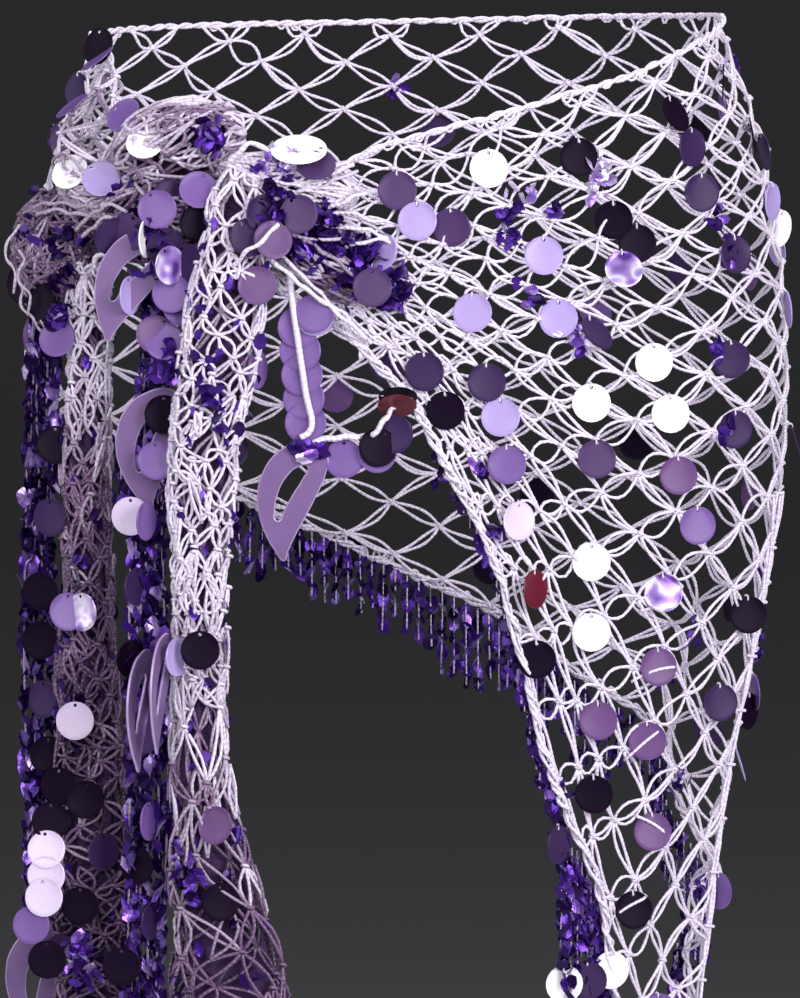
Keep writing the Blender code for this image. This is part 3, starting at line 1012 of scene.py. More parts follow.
# Borders: edge, from and to angle, plies, ply radius, coil radius, pitch, how uneven the cord is
BORDERS = {
    "border_top_front": ("top", -20.0, 89.8, 2, 0.95, 0.80, 19.0, 0.35),
    "border_top_back": ("top", 90.2, 302.0, 2, 0.95, 0.80, 19.0, 0.35),
    "border_front_edge": ("bottom", -20.0, 58.9, 4, 0.85, 1.60, 28.0, 1.2),
    "border_back_edge": ("bottom", 61.1, 302.0, 3, 0.90, 1.30, 24.0, 0.9),
}


def paced(which, start, end, out, first, pace):
    """Angles at an even pace along an edge of the cloth, and how far along it each lies."""
    angles = np.arange(start, end, 0.25)
    line, _ = worn(angles, edge(which, angles), out)
    run = distances(line)
    lengths = np.arange(first, run[-1], pace)
    return np.interp(lengths, run, angles), lengths


def border_cord(name, which, start, end, plies, ply, coil, pitch, uneven, chance):
    """Loosely twisted cord along an edge, with small loops of the net's last row caught in it."""
    batch = Batch(name + "_cord")
    angles, lengths = paced(which, start, end, NET_OUT + BORDER_LIFT, 0, BORDER_STEP)
    line, outward = worn(angles, edge(which, angles), NET_OUT + BORDER_LIFT)
    along = unit(np.gradient(line, axis=0))
    across = unit(np.cross(along, outward))
    for strand in range(plies):
        wander = np.sin(0.11 * lengths + 2 * strand) + np.sin(0.043 * lengths + 1.3 + 4 * strand)
        turn = 2 * math.pi * (lengths / pitch + strand / plies) + uneven * wander
        reach = coil * (1 + 0.3 * uneven * np.sin(0.19 * lengths + strand))
        path = line + (reach * np.cos(turn))[:, None] * across + (reach * np.sin(turn))[:, None] * outward
        thick = ply * (1 + 0.18 * uneven * np.sin(0.5 * lengths + 3 * strand))
        tube(batch, path, outward, thick)
    inward = (0, 0, -1 if which == "top" else 1)
    for n in range(BORDER_PLAIN_END, len(lengths) - BORDER_PLAIN_END, BORDER_LOOP_STEPS):
        if chance.random() < uneven:
            border_loop(batch, line[n], along[n], outward[n], inward, chance)
    return batch


def border_loop(batch, foot, along, outward, inward, chance):
    """Small loop of the net's last row, caught in the border."""
    turn = np.linspace(0, math.pi, 6)
    reach, width = chance.uniform(1.6, 3.8), chance.uniform(1.5, 3.0)
    path = (
        foot
        + np.outer(width * np.cos(turn), along)
        + np.outer(reach * np.sin(turn), inward)
        + np.outer(chance.uniform(0.3, 1.3) + 0 * turn, outward)
    )
    tube(batch, path, outward, BORDER_LOOP_RADIUS)


# ---------------------------------------------------------------- fringe of foil sequins

EDGE_FRINGES = (("fringe_front_edge", 3.5, 59.9), ("fringe_back_edge", 60.1, 288.0))
# The fringe is short by the knot and full from here on: angle, share of the drop
FRINGE_GROWTH = (
    (3.5, 0.10),
    (10, 0.18),
    (18, 0.34),
    (27, 0.46),
    (29, 1.9),
    (31, 2.1),
    (35, 1.6),
    (39, 1.2),
    (44, 0.9),
    (54, 1.0),
)
FRINGE_FOIL_RADIUS = 3.5
FRINGE_FOIL_TONE = 0.26
FRINGE_PACE = 6.6
FRINGE_TOP_GAP, FRINGE_STRAND_OUT = 1.5, 2.4
FRINGE_SHORTER = 4.0
THREAD_RADIUS, THREAD_TONE = 0.4, 0.35
STRAND_SWAY = 0.03


def sequin_strand(batch, top, outward, drop, chance):
    """Thread of small foil sequins that hangs straight down."""
    sway = np.array([chance.uniform(-1, 1), chance.uniform(-1, 1), 0]) * drop * STRAND_SWAY
    t = np.linspace(0, 1, 7)
    path = top + np.outer(t, (0, 0, -drop)) + np.outer(t**2, sway)
    tube(batch, path, outward, THREAD_RADIUS, THREAD_TONE, THIN_SIDES)
    count = int(drop / (FRINGE_FOIL_RADIUS * FOIL_LONG))
    for n in range(count):
        share = (n + 0.8) / (count + 0.3)
        place = top + np.array([0, 0, -drop * share]) + sway * share**2
        place = place + np.array([chance.uniform(-0.8, 0.8), chance.uniform(-0.8, 0.8), 0])
        face = tilted(outward, chance.uniform(-40, 45), chance.uniform(-75, 75))
        long_way = np.array([chance.uniform(-0.6, 0.6), chance.uniform(-0.6, 0.6), -1])
        tone_with_glints = clamped(chance.gauss(FRINGE_FOIL_TONE, 0.32), 0.0, 1.0)
        size = FRINGE_FOIL_RADIUS * chance.uniform(0.75, 1.3)
        foil(batch, place, face, long_way, size, tone_with_glints, chance)


def edge_fringe(name, start, end, chance):
    """Strands hung close together behind the cloth's lower edge."""
    batch = Batch(name + "_sequins")
    angles, _ = paced("bottom", start, end, FRINGE_OUT + FRINGE_WALL / 2, FRINGE_PACE / 2, FRINGE_PACE)
    for angle in angles:
        foot = float(edge("bottom", angle))
        top, outward = worn(angle, foot - FRINGE_TOP_GAP, FRINGE_STRAND_OUT)
        growth = float(np.interp(angle, *zip(*FRINGE_GROWTH)))
        drop = (FRINGE_DROP - FRINGE_SHORTER) * chance.uniform(0.5, 0.95) * growth
        sequin_strand(batch, top, outward, drop, chance)
    return batch


# ---------------------------------------------------------------- gathered net of the knot and tails

# Rounded masses of the knot: middle, half sizes, turn in the plane of view
MASSES = {
    "knot_core": ((-113, -103, -92), (30, 22, 20), -10),
    "knot_top_loop": ((-106, -98, -59), (32, 19, 20), -14),
    "knot_wrap": ((-55, -123, -75), (31, 12, 10), 12),
    "knot_drape_mouth": ((-43, -121, -104), (37, 12, 17), 36),
}
# Hanging stretches: x, y, z, half_x, half_y at each level
ROPES = {
    "knot_hip_gather": (
        (-139, -56, -24, 5, 6),
        (-142, -60, -36, 11, 12),
        (-145, -66, -52, 18, 18),
        (-146, -72, -68, 22, 23),
        (-143, -77, -82, 20, 22),
        (-139, -81, -93, 11, 14),
    ),
    "knot_side_lump": (
        (-158, -64, -80, 13, 12),
        (-162, -64, -91, 21, 20),
        (-163, -65, -108, 24, 23),
        (-162, -66, -124, 22, 21),
        (-159, -67, -139, 17, 16),
        (-156, -68, -149, 9, 9),
    ),
    "tail_centre": (
        (-75, -127, -66, 10, 7),
        (-76, -130, -83, 16, 9),
        (-81, -132, -106, 17, 10),
        (-84, -132, -129, 19, 10),
        (-87, -131, -152, 19, 10),
        (-91, -130, -175, 18, 9),
        (-95, -128, -198, 17, 9),
        (-96.5, -126, -235, 14.5, 8),
        (-97, -124, -275, 13, 8),
        (-97.5, -122, -323, 13, 8),
        (-96, -120, -360, 15, 8),
        (-92, -119, -389, 19, 8),
        (-87, -118, -421, 24, 8),
        (-84, -117, -453, 28, 8),
        (-82, -116, -490, 30, 7),
        (-82, -116, -520, 27, 6),
    ),
    "tail_side": (
        (-149, -84, -112, 9, 7),
        (-149, -88, -145, 11, 8),
        (-150, -88, -177, 11, 8),
        (-151, -88, -224, 12, 8),
        (-150.5, -87, -271, 13, 8),
        (-151, -86, -318, 15, 8),
        (-150, -85, -365, 18, 8),
        (-148, -84, -412, 20, 8),
        (-146, -83, -458, 22, 8),
        (-145, -83, -505, 22, 7),
    ),
    "fringe_between_tails": (
        (-113, -112, -104, 9, 3),
        (-117, -113, -145, 9, 3),
        (-121, -112, -199, 10, 3),
        (-121.5, -112, -268, 11, 3),
        (-121, -111, -338, 11, 3),
        (-123, -110, -408, 12, 3),
        (-124.5, -109, -455, 12, 3),
        (-125, -109, -500, 10, 3),
    ),
    "fringe_beside_tail": (
        (-170, -62, -118, 8, 3),
        (-174.5, -63, -178, 9, 3),
        (-174, -65, -272, 9, 3),
        (-174.5, -66, -367, 10, 3),
        (-175, -66, -430, 9, 3),
    ),
}


class Mass:
    """Surface of a rounded mass: a turn round it and a share of the way from its left end to its right."""

    strand_radius, most_lift, curl_out = 0.88, 2.4, 0.2

    def __init__(self, middle, halves, turn):
        self.middle, self.halves = np.array(middle, float), np.array(halves, float)
        self.turn = math.radians(turn)

    def __call__(self, around, share, out):
        polar, turn = np.pi * np.clip(share, 0.02, 0.98), 2 * np.pi * around
        way = np.stack([-np.cos(polar), -np.sin(polar) * np.cos(turn), np.sin(polar) * np.sin(turn)], axis=-1)
        local = way * (self.halves + np.asarray(out)[..., None])
        outward = unit(way / self.halves)
        return self.middle + self.turned(local), self.turned(outward)

    def turned(self, v):
        c, s = math.cos(self.turn), math.sin(self.turn)
        return np.stack([c * v[..., 0] + s * v[..., 2], v[..., 1], c * v[..., 2] - s * v[..., 0]], axis=-1)

    @property
    def length(self):
        return 2.4 * self.halves[0]

    @property
    def girth(self):
        return math.pi * (self.halves[1] + self.halves[2])


class Rope:
    """Surface of a hanging stretch: a turn round it and a share of the way down it."""

    strand_radius, most_lift, curl_out = 0.80, 1.6, -0.9

    def __init__(self, levels):
        self.levels = np.array(levels, float)
        self.run = distances(self.levels[:, :3])
        self.length = float(self.run[-1])
        self.girth = 2 * math.pi * float(np.sqrt((self.levels[:, 3:] ** 2).sum(axis=1) / 2).mean())

    def section(self, share):
        at = np.clip(share, 0, 1) * self.length
        return [np.interp(at, self.run, self.levels[:, n]) for n in range(5)]

    def __call__(self, around, share, out):
        x, y, z, half_x, half_y = self.section(share)
        turn = 2 * np.pi * around
        sine, cosine = np.sin(turn), np.cos(turn)
        places = np.stack([x + (half_x + out) * sine, y - (half_y + out) * cosine, z + 0 * turn], axis=-1)
        outward = np.stack([sine / half_x, -cosine / half_y, 0 * turn], axis=-1)
        return places, unit(outward)


FORMS = {name: Mass(*row) for name, row in MASSES.items()}
FORMS.update({name: Rope(levels) for name, levels in ROPES.items()})
FORM_ENDS = (0.005, 0.995)
# Deepest painted shade of the gathered net's yarn
DEEPEST_SHADE = 1.9
# How far a knot of the gathered net may lie from its place, as a share of the space between knots
LOOSE = 0.33


def loose_link(batch, form, here, there, slack, tone, chance, sides):
    """Two strands on a form between two knots of its net, parted and bowed by their slack."""
    turns = there[0] - here[0]
    turns -= round(turns)
    t = np.linspace(0, 1, 6)
    shape = np.sin(math.pi * t)
    heading = math.atan2(turns * form.girth, (there[1] - here[1]) * form.length)
    sag = slack * chance.uniform(-0.5, 0.5)
    for side in (-1, 1):
        bow = (side * slack * chance.uniform(0.3, 1.1) + sag) * shape
        around = here[0] + t * turns + bow * math.cos(heading) / form.girth
        share = here[1] + t * (there[1] - here[1]) - bow * math.sin(heading) / form.length
        outs = (1 - t) * here[2] + t * there[2] + shape * chance.uniform(-0.5, form.most_lift)
        places, outward = form(around, np.clip(share, *FORM_ENDS), outs)
        uneven = 1 + STRAND_UNEVEN * np.sin(2.1 * np.arange(len(t)) + 9 * side * slack)
        shade = clamped(tone + chance.gauss(0, 0.10), 0.0, DEEPEST_SHADE)
        places = clear_of_figure(places)
        tube(batch, places, outward, form.strand_radius * uneven, shade, sides)


def turn_of_yarn(batch, form, here, tone):
    """One turn of yarn round a knot of the gathered net."""
    place, _ = form(np.array([here[0]]), np.array([here[1]]), np.array([here[2]]))
    place = clear_of_figure(place)[0]
    wrap(batch, place, (0.2, 0.3, 1), KNOT_RADIUS, form.strand_radius, tone)


def gathered_layer(batch, form, start, end, columns, rows, out, slack, tone_at, chance):
    """Net drawn together round a form: knots in staggered rows, and loose links between them."""
    hidden = out < INNER_OUT
    sides = THIN_SIDES if hidden else STRAND_SIDES
    knots = {}
    for row in range(rows + 1):
        for column in range(columns):
            loose_around, loose_along = chance.uniform(-LOOSE, LOOSE), chance.uniform(-LOOSE, LOOSE)
            around = (column + 0.5 * (row % 2) + loose_around) / columns
            share = start + (end - start) * (row + loose_along) / rows
            knots[row, column] = (around, clamped(share, *FORM_ENDS), out + chance.uniform(-1.0, 1.6))
    for (row, column), here in knots.items():
        if row == rows:
            continue
        tone = tone_at(here[1], out)
        for shift in (0, 1):
            target = (column + shift) if row % 2 else (column + shift - 1)
            there = knots[row + 1, target % columns]
            loose_link(batch, form, here, there, slack, tone, chance, sides)
        if not hidden:
            turn_of_yarn(batch, form, here, tone)


KNOTTED_CURLS = 0.4


def curls(batch, form, start, end, count, length, heading, spread, slack, tone_at, chance):
    """Loose links lying over the gathered net at about one heading from the form's length, in degrees."""
    for _ in range(count):
        around, share = chance.random(), chance.uniform(start, end)
        way = math.radians(heading * chance.choice((-1, 1)) + chance.gauss(0, spread))
        reach = length * chance.uniform(0.6, 1.3)
        here = (around, share, form.curl_out + chance.uniform(-1.5, 1.2))
        there = (
            around + reach * math.sin(way) / form.girth,
            clamped(share + reach * math.cos(way) / form.length, 0.01, 0.99),
            form.curl_out + chance.uniform(-1.5, 1.2),
        )
        tone = tone_at(share, form.curl_out)
        loose_link(batch, form, here, there, slack, tone, chance, STRAND_SIDES)
        if chance.random() < KNOTTED_CURLS:
            turn_of_yarn(batch, form, here, tone)


CORE_RINGS, CORE_SIDES = 16, 42
CORE_PLEATS, CORE_CREASES = 7, 11
PLEAT_DEPTH = 1.1


def gathered_shade_sheet(batch, form, out, start, end):
    """Dark pleated sheet inside the gathered net, painted shade seen through the gaps between its outer
    links.
    """
    around = np.arange(CORE_SIDES) / CORE_SIDES
    points = []
    for share in np.linspace(start, end, CORE_RINGS):
        fade = math.sin(math.pi * share) ** 0.5
        pleats = np.sin(2 * math.pi * CORE_PLEATS * around + 5 * share)
        wave = pleats + 0.6 * np.sin(2 * math.pi * CORE_CREASES * around - 9 * share)
        outs = out * (2 - fade) + PLEAT_DEPTH * wave * fade
        places, _ = form(around, np.full(CORE_SIDES, share), outs)
        points.append(clear_of_figure(places))
    batch.add(np.concatenate(points), ring_faces(CORE_RINGS, CORE_SIDES), "deep_yarn")


INNER_OUT = -2.6

# Layers of net in each gathered stretch: start and end share, columns, rows, out, slack
GATHER_LAYERS = {
    "knot_core": ((0, 1, 8, 5, -3.5, 4.0), (0, 1, 8, 5, -1.0, 4.0)),
    "knot_top_loop": ((0, 1, 8, 5, -3.0, 5.0),),
    "knot_wrap": ((0, 1, 6, 6, -1.0, 3.0),),
    "knot_drape_mouth": ((0, 1, 6, 5, -1.0, 3.5),),
    "knot_hip_gather": ((0, 0.60, 4, 4, -0.5, 0.9), (0.55, 1, 6, 3, -1.0, 3.6)),
    "knot_side_lump": ((0, 1, 8, 5, -3.0, 4.0), (0, 1, 8, 5, -1.0, 4.0)),
    "tail_centre": (
        (0, 0.55, 4, 14, -4.5, 2.4),
        (0, 0.55, 7, 25, -2.2, 2.6),
        (0.5, 1, 6, 12, -4.0, 3.0),
        (0.52, 1, 5, 10, -1.0, 3.4),
    ),
    "tail_side": ((0, 1, 3, 21, -4.0, 2.4), (0, 1, 6, 42, -2.0, 2.4)),
}
# Curls over them: start and end share, count, length, heading, spread, slack
GATHER_CURLS = {
    "knot_core": ((0.02, 0.94, 70, 17, 40, 50, 4.0),),
    "knot_top_loop": ((0.05, 0.90, 120, 19, 38, 26, 4.6), (0.1, 0.8, 30, 30, 10, 14, 3.4)),
    "knot_wrap": ((0.02, 0.94, 46, 26, 0, 14, 3.0),),
    "knot_drape_mouth": ((0.02, 0.94, 50, 27, 5, 12, 2.6),),
    "knot_hip_gather": ((0.60, 0.96, 80, 17, 35, 30, 4.0),),
    "knot_side_lump": ((0.02, 0.94, 190, 17, 30, 40, 3.6),),
    "tail_centre": ((0.0, 0.5, 110, 18, 0, 20, 2.6), (0.5, 0.97, 56, 22, 0, 22, 3.2)),
    "tail_side": ((0.0, 0.96, 160, 18, 0, 22, 2.6),),
}
# Palest and deepest tone of each part of the knot, painted shade, deeper for the parts that lie in shade
KNOT_SHADE_RANGES = {
    "knot_core": (0.5, 1.6),
    "knot_top_loop": (0.0, 1.05),
    "knot_wrap": (0.0, 0.7),
    "knot_drape_mouth": (0.1, 1.5),
    "knot_hip_gather": (0.0, 0.8),
    "knot_side_lump": (0.65, 1.9),
}
# Tone of each tail down its length, painted shade that deepens down each tail: share, tone, spread of the
# tone
TAIL_SHADE_STEPS = {
    "tail_centre": (
        (0.0, 0.0, 0.10),
        (0.40, 0.12, 0.12),
        (0.50, 0.24, 0.16),
        (0.58, 0.42, 0.25),
        (0.66, 0.68, 0.35),
        (0.74, 0.95, 0.40),
        (0.84, 1.22, 0.45),
        (1.0, 1.32, 0.50),
    ),
    "tail_side": (
        (0.0, 0.0, 0.10),
        (0.13, 0.10, 0.15),
        (0.21, 0.60, 0.25),
        (0.28, 1.10, 0.30),
        (0.5, 1.30, 0.30),
        (1.0, 1.45, 0.35),
    ),
}
# Painted shade added to the yarn of the inner layers
INNER_SHADE = 0.6
# Stretch of each form that has a dark sheet of painted shade inside: start and end share, and how deep it
# lies
SHADE_SHEET_SPANS = {
    "knot_core": (0.04, 0.96, -5.5),
    "knot_top_loop": (0.04, 0.96, -5.5),
    "knot_wrap": (0.04, 0.96, -4.5),
    "knot_drape_mouth": (0.04, 0.96, -4.5),
    "knot_hip_gather": (0.62, 0.96, -5.5),
    "knot_side_lump": (0.04, 0.96, -5.5),
    "tail_centre": (0.02, 0.90, -5.0),
    "tail_side": (0.01, 0.97, -4.2),
}


def gather_tone(name, share, out, chance):
    """Painted shade of one link of a gathered stretch: deeper down a tail, and deeper where it lies inside.
    """
    if name in TAIL_SHADE_STEPS:
        shares, tones, spreads = zip(*TAIL_SHADE_STEPS[name])
        spread = float(np.interp(share, shares, spreads))
        tone = float(np.interp(share, shares, tones)) + chance.gauss(0, spread)
    else:
        palest, deepest = KNOT_SHADE_RANGES[name]
        tone = palest + (deepest - palest) * chance.random() ** 1.3
    return clamped(tone + (INNER_SHADE if out < INNER_OUT else 0.0), 0.0, DEEPEST_SHADE)


def gathered_piece(name, chance):
    """A stretch of gathered net: its dark sheet of painted shade, its layers of net and the curls over them.
    """
    batch = Batch(name + "_net")
    form = FORMS[name]

    def tone_at(share, out):
        return gather_tone(name, share, out, chance)

    core_start, core_end, core_out = SHADE_SHEET_SPANS[name]
    gathered_shade_sheet(batch, form, core_out, core_start, core_end)
    for layer in GATHER_LAYERS[name]:
        gathered_layer(batch, form, *layer, tone_at, chance)
    for row in GATHER_CURLS[name]:
        curls(batch, form, *row, tone_at, chance)
    return batch


# ---------------------------------------------------------------- loose strands of the knot

PATH_STEP = 1.5
LOOSE_WAVE = 0.7
# No loose strand runs along this direction
OFF_STRANDS = (0.1, -1, 0.05)


def fine_path(places):
    """Smooth path through listed places."""
    places = np.array(places, float)
    run = distances(places)
    slopes = np.gradient(places, run, axis=0)
    made = []
    for s in np.linspace(0, run[-1], int(run[-1] / PATH_STEP)):
        i = min(int(np.searchsorted(run, s, side="right")) - 1, len(run) - 2)
        width = run[i + 1] - run[i]
        t = (s - run[i]) / width
        made.append(curve_point(t, width, places[i], places[i + 1], slopes[i], slopes[i + 1]))
    return np.array(made)


def uneven_path(places):
    """Smooth path through places with the small waves of a hand-made strand."""
    path = fine_path(places)
    turn = 0.55 * np.arange(len(path)) + places[0][0]
    ends = np.sin(math.pi * np.linspace(0, 1, len(path)))
    waves = np.stack([np.sin(turn), 0.4 * np.cos(turn), np.cos(1.3 * turn)], axis=-1)
    return path + LOOSE_WAVE * waves * ends[:, None]


# Loose strands that stand out on the knot: radius, tone (painted shade, 0 for none), places they pass through
LOOSE_STRANDS = (
    (1.2, 0.0, ((-84, -126, -70), (-80, -132, -62), (-74, -133, -58), (-67, -133, -59), (-61, -130, -67))),
    (1.0, 0.0, ((-81, -141, -113), (-73, -149, -105.5), (-66, -149, -99.5), (-60, -146, -94))),
    (1.1, 0.0, ((-68, -136, -106), (-57, -139, -116), (-42, -137, -128), (-33, -134, -135),
      (-20, -130, -147))),
    (0.9, 0.1, ((-66, -135, -103), (-54, -138, -113), (-41, -136, -126), (-30, -133, -136),
      (-18, -129, -149))),
    (1.0, 0.0, ((-68, -130, -80), (-56, -135, -77), (-44, -136, -73), (-34, -134, -70), (-26, -130, -67))),
    (0.9, 0.1, ((-66, -131, -77), (-54, -135.5, -75), (-44, -136, -71), (-35, -133, -68), (-28, -129, -66))),
    (0.9, 0.3, ((-64, -131, -83), (-53, -135, -80), (-42, -136, -77), (-32, -134, -73), (-24, -130, -70))),
    (0.9, 0.0, ((-40, -130, -89), (-34, -135, -85), (-28, -135, -82.5), (-20, -131, -80))),
    (0.9, 0.0, ((-35, -131, -97), (-26, -135, -95.5), (-20, -135, -97), (-10, -131, -101))),
    (0.9, 0.8, ((-50, -134, -101), (-42, -136, -105), (-34, -136, -111), (-26, -133, -118))),
    (0.9, 0.1, ((-40, -131, -91.5), (-28, -134, -88.5), (-20, -133, -92), (-11, -130, -93))),
    (0.9, 0.0, ((-30, -131, -105), (-20, -134, -102), (-14, -133, -101.5), (-6, -130, -104))),
    (0.9, 0.5, ((-155, -95, -98), (-149, -102, -92), (-143, -110, -88), (-137, -117, -86),
      (-130, -122, -89))),
    (0.9, 0.4, ((-152, -98, -101), (-146, -107, -96), (-140, -114, -92), (-133, -120, -91))),
    (0.9, 0.7, ((-176, -80, -88), (-169, -87, -85.5), (-161, -92, -86), (-153, -98, -87), (-144, -106, -87))),
    (0.9, 0.6, ((-174, -82, -91), (-166, -90, -89), (-157, -96, -90), (-149, -103, -91))),
    (1.2, 0.0, ((-146, -101, -116), (-144.5, -105, -109), (-142, -106, -108), (-140, -104, -112))),
    (0.7, 0.4, ((-182, -78, -96), (-187, -78, -103), (-188, -78, -112), (-184, -79, -120),
      (-185, -78, -128))),
    (0.7, 0.45, ((-180, -80, -124), (-181, -82, -133), (-175, -84, -141), (-168, -84, -147),
      (-160, -84, -151))),
    (0.7, 0.5, ((-184, -76, -106), (-180, -84, -112), (-182, -84, -120), (-177, -86, -130),
      (-178, -84, -138))),
    (0.7, 0.4, ((-172, -86, -140), (-166, -88, -146), (-160, -88, -148), (-154, -88, -144))),
)


def loose_strands():
    """Single strands of yarn that lie over the knot."""
    batch = Batch("knot_loose_strands")
    for radius, tone, places in LOOSE_STRANDS:
        path = uneven_path(places)
        thick = radius * (1 + STRAND_UNEVEN * np.sin(1.1 * np.arange(len(path)) + places[0][0]))
        tube(batch, path, OFF_STRANDS, thick, tone, LOOSE_SIDES)
    return batch


# ---------------------------------------------------------------- long strands of foil by the tails

# Strands side by side in each, and their tone
HANGING_SEQUINS = (("fringe_between_tails", 6, 0.20), ("fringe_beside_tail", 5, 0.12))
HANGING_RUNS = ((0.0, 0.52), (0.5, 1.0))
HANGING_POINTS = 12
HANGING_PACE = 4.4
HANGING_FOIL_RADIUS = 3.6
HANGING_THREAD_RADIUS, HANGING_THREAD_TONE = THREAD_RADIUS * 1.3, 0.7
# Share of the foil painted bright as glints, and their size
PAINTED_GLINTS, GLINT_RADIUS = 0.12, 4.6


def foil_row(batch, path, length, tone, chance):
    """Foil sequins at an even pace along a path, a few of them made larger and painted bright as glints."""
    count = int(length / HANGING_PACE)
    for n in range(count):
        at = (n + 0.5) / count * (HANGING_POINTS - 1)
        low = min(int(at), HANGING_POINTS - 2)
        place = path[low] + (at - low) * (path[low + 1] - path[low])
        place = place + np.array([chance.uniform(-1, 1), chance.uniform(-2.2, 2.2), 0])
        face = tilted(FRONTWARD, chance.uniform(-35, 40), chance.uniform(-80, 80))
        tone_with_glints = clamped(chance.gauss(tone, 0.24), 0.0, 1.0)
        size = HANGING_FOIL_RADIUS * chance.uniform(0.8, 1.3)
        if chance.random() < PAINTED_GLINTS:
            tone_with_glints, size = chance.uniform(0.85, 1.25), GLINT_RADIUS
        long_way = np.array([chance.uniform(-0.3, 0.3), 0, -1])
        foil(batch, place, face, long_way, size, tone_with_glints, chance)


def hanging_sequins(name, strands, tone, chance):
    """Long strands of foil side by side over the length of a hanging stretch."""
    batch = Batch(name + "_sequins")
    form = FORMS[name]
    for n in range(strands):
        across = (n + 0.5) / strands * 2 - 1
        for start, end in HANGING_RUNS:
            shares = np.linspace(start, end, HANGING_POINTS)
            x, y, z, half_x, _ = form.section(shares)
            sway = 1.2 * np.sin(9 * shares + n * 1.7)
            path = np.stack([x + across * half_x * 0.85 + sway, y + 0 * z, z], axis=-1)
            tube(batch, path, FRONTWARD, HANGING_THREAD_RADIUS, HANGING_THREAD_TONE, THIN_SIDES)
            foil_row(batch, path, (end - start) * form.length, tone, chance)
    return batch


# ---------------------------------------------------------------- paillettes on the front net

# Paillettes that show at the front: angle, height of the middle, tone (the lit copy, with its painted glare,
# reflection or shade), lean, swing
FRONT_PAILLETTES = (
    (12, -69, "white", 4, 4),
    (-2, -79, "grape", 0, 8),
    (1, -93, "pale", 4, 0),
    (6, -96, "grape", -6, -10),
    (27, -64, "dark", 0, 10),
    (32, -93, "dark", 0, -14),
    (36, -104, "dark", 5, 8),
    (50.5, -60, "plum", 0, 35),
    (51, -81, "plum", 0, 12),
    (68, -30, "dark", 0, 71),
    (72, -55, "dark", 8, 63),
    (47, -45, "dark", 25, 41),
    (20, -109, "pale", 3, 6),
    (33, -116, "shot", 20, 10),
    (-6, -122, "mid", -5, -12),
    (9, -135, "pale", 2, 4),
    (22, -138, "pale", 0, 0),
    (27, -146, "plum", 35, 46),
    (27, -177, "white", 2, 6),
    (38, -159, "white", 4, 10),
    (41, -183, "white", 2, 6),
    (55, -159, "plum", 0, 0),
    (56, -192, "plum", 0, 14),
    (2, -162, "plum", 0, -6),
    (11, -167, "plum", 3, 10),
    (5, -180, "dark", -4, 0),
    (13, -183, "pale", 0, 0),
    (14, -205, "mid", 4, 8),
    (16, -231, "milk", 0, 32),
    (28, -203, "grape", 4, -6),
    (43, -212, "mauve", 0, 0),
    (48, -236, "mid", 0, 6),
    (28, -251, "white", 0, 0),
    (29, -284, "white", 3, 4),
    (42, -267, "shot", 15, -12),
    (43, -302, "mauve", 0, 6),
    (19, -263, "red", 0, 45),
    (20, -296, "dark", 0, -8),
    (32, -326, "mauve", 0, 4),
    (43, -337, "mauve", 0, -6),
    (33, -361, "dark", 3, 0),
    (48, -381, "mauve", 5, 5),
    (46, -418, "dark", 0, 0),
    (90, -332, "dark", 0, 24),
    (79, -416, "mid", 0, 107),
    (42, -446, "white", 0, 8),
    (31, -451, "white", 0, 10),
    (36.4, -450, "plum", 0, 0),
    (27, -384, "plum", 0, 46),
    (67, -281, "dark", 0, -10),
    (62, -322, "plum", 0, 10),
    (58, -110, "plum", 4, 20),
    (60, -470, "mid", 0, -10),
    (54, -500, "plum", 5, 12),
)
FRONT_REACH = 74.0
# Each hangs flatter to the front than the net behind it, by this share of its angle
FACE_FRONT = 0.6
# How far each may stray from its row's lean and swing
LEAN_STRAY, SWING_STRAY = 4, 5

# Strands of the net that lie over a paillette: its angle and height, the strand's turn from level,
# how far above the middle it passes, and its bow
CROSSING_STRANDS = (
    (43, -302, 15, -4.0, 3.0),
    (43, -337, 45, -1.0, 1.5),
    (48, -381, -35, 1.5, 1.5),
    (42, -267, 35, -2.0, -2.0),
    (46, -418, 30, 1.0, 2.0),
)
CROSSING_REACH = 12.0
CROSSING_OUT = 1.7

# Small clusters of foil caught in the front net: angle, height, how many, tone, where tones above about one
# paint glints
NET_FOILS = (
    (30.4, -68, 9, 1.35),
    (31.0, -77, 8, 1.2),
    (17.0, -81, 7, 1.25),
    (15.2, -90, 8, 0.25),
    (14.8, -101, 9, 0.40),
    (18.0, -126, 6, 0.45),
    (22.3, -91, 4, 0.45),
    (25.0, -147, 14, 1.1),
    (54.6, -93, 6, 0.45),
    (58.0, -109, 9, 0.30),
    (52.8, -155, 6, 0.40),
    (53.7, -192, 8, 0.35),
    (9.8, -207, 6, 0.55),
    (12.0, -237, 9, 0.60),
    (50.3, -290, 4, 0.40),
    (53.7, -357, 7, 0.25),
    (26.9, -354, 5, 0.25),
)
NET_FOIL_RADIUS = 2.9
# Spread of a cluster round the net, in degrees, and down it
CLUSTER_AROUND, CLUSTER_DOWN = 1.1, 3.6
# Shares of the knots of the sides and back that carry a cluster of foil, or anything
SIDE_FOIL_SHARE, SIDE_SHARE = 0.05, 0.24
SIDE_CLUSTER, SIDE_FOIL_TONE = (4, 9), 0.5
# Middle and spread of their lean and swing
SIDE_LEAN, SIDE_SWING = (2, 9), (0, 18)
PAILLETTE_OUT = NET_OUT + 3.6
LOOP_BACK = 1.1
KNOT_TO_HOLE = 2.5
# Lit copies picked at random for the sides, and only darker ones for the back, painted shade
SIDE_TONES = ("white", "pale", "pale", "mid", "mid", "mauve", "plum", "plum", "dark")
BACK_SHADE_TONES = ("mid", "mauve", "grape", "plum", "plum", "dark", "dark")
BACK_START = 118
PAILLETTE_SEED = 23


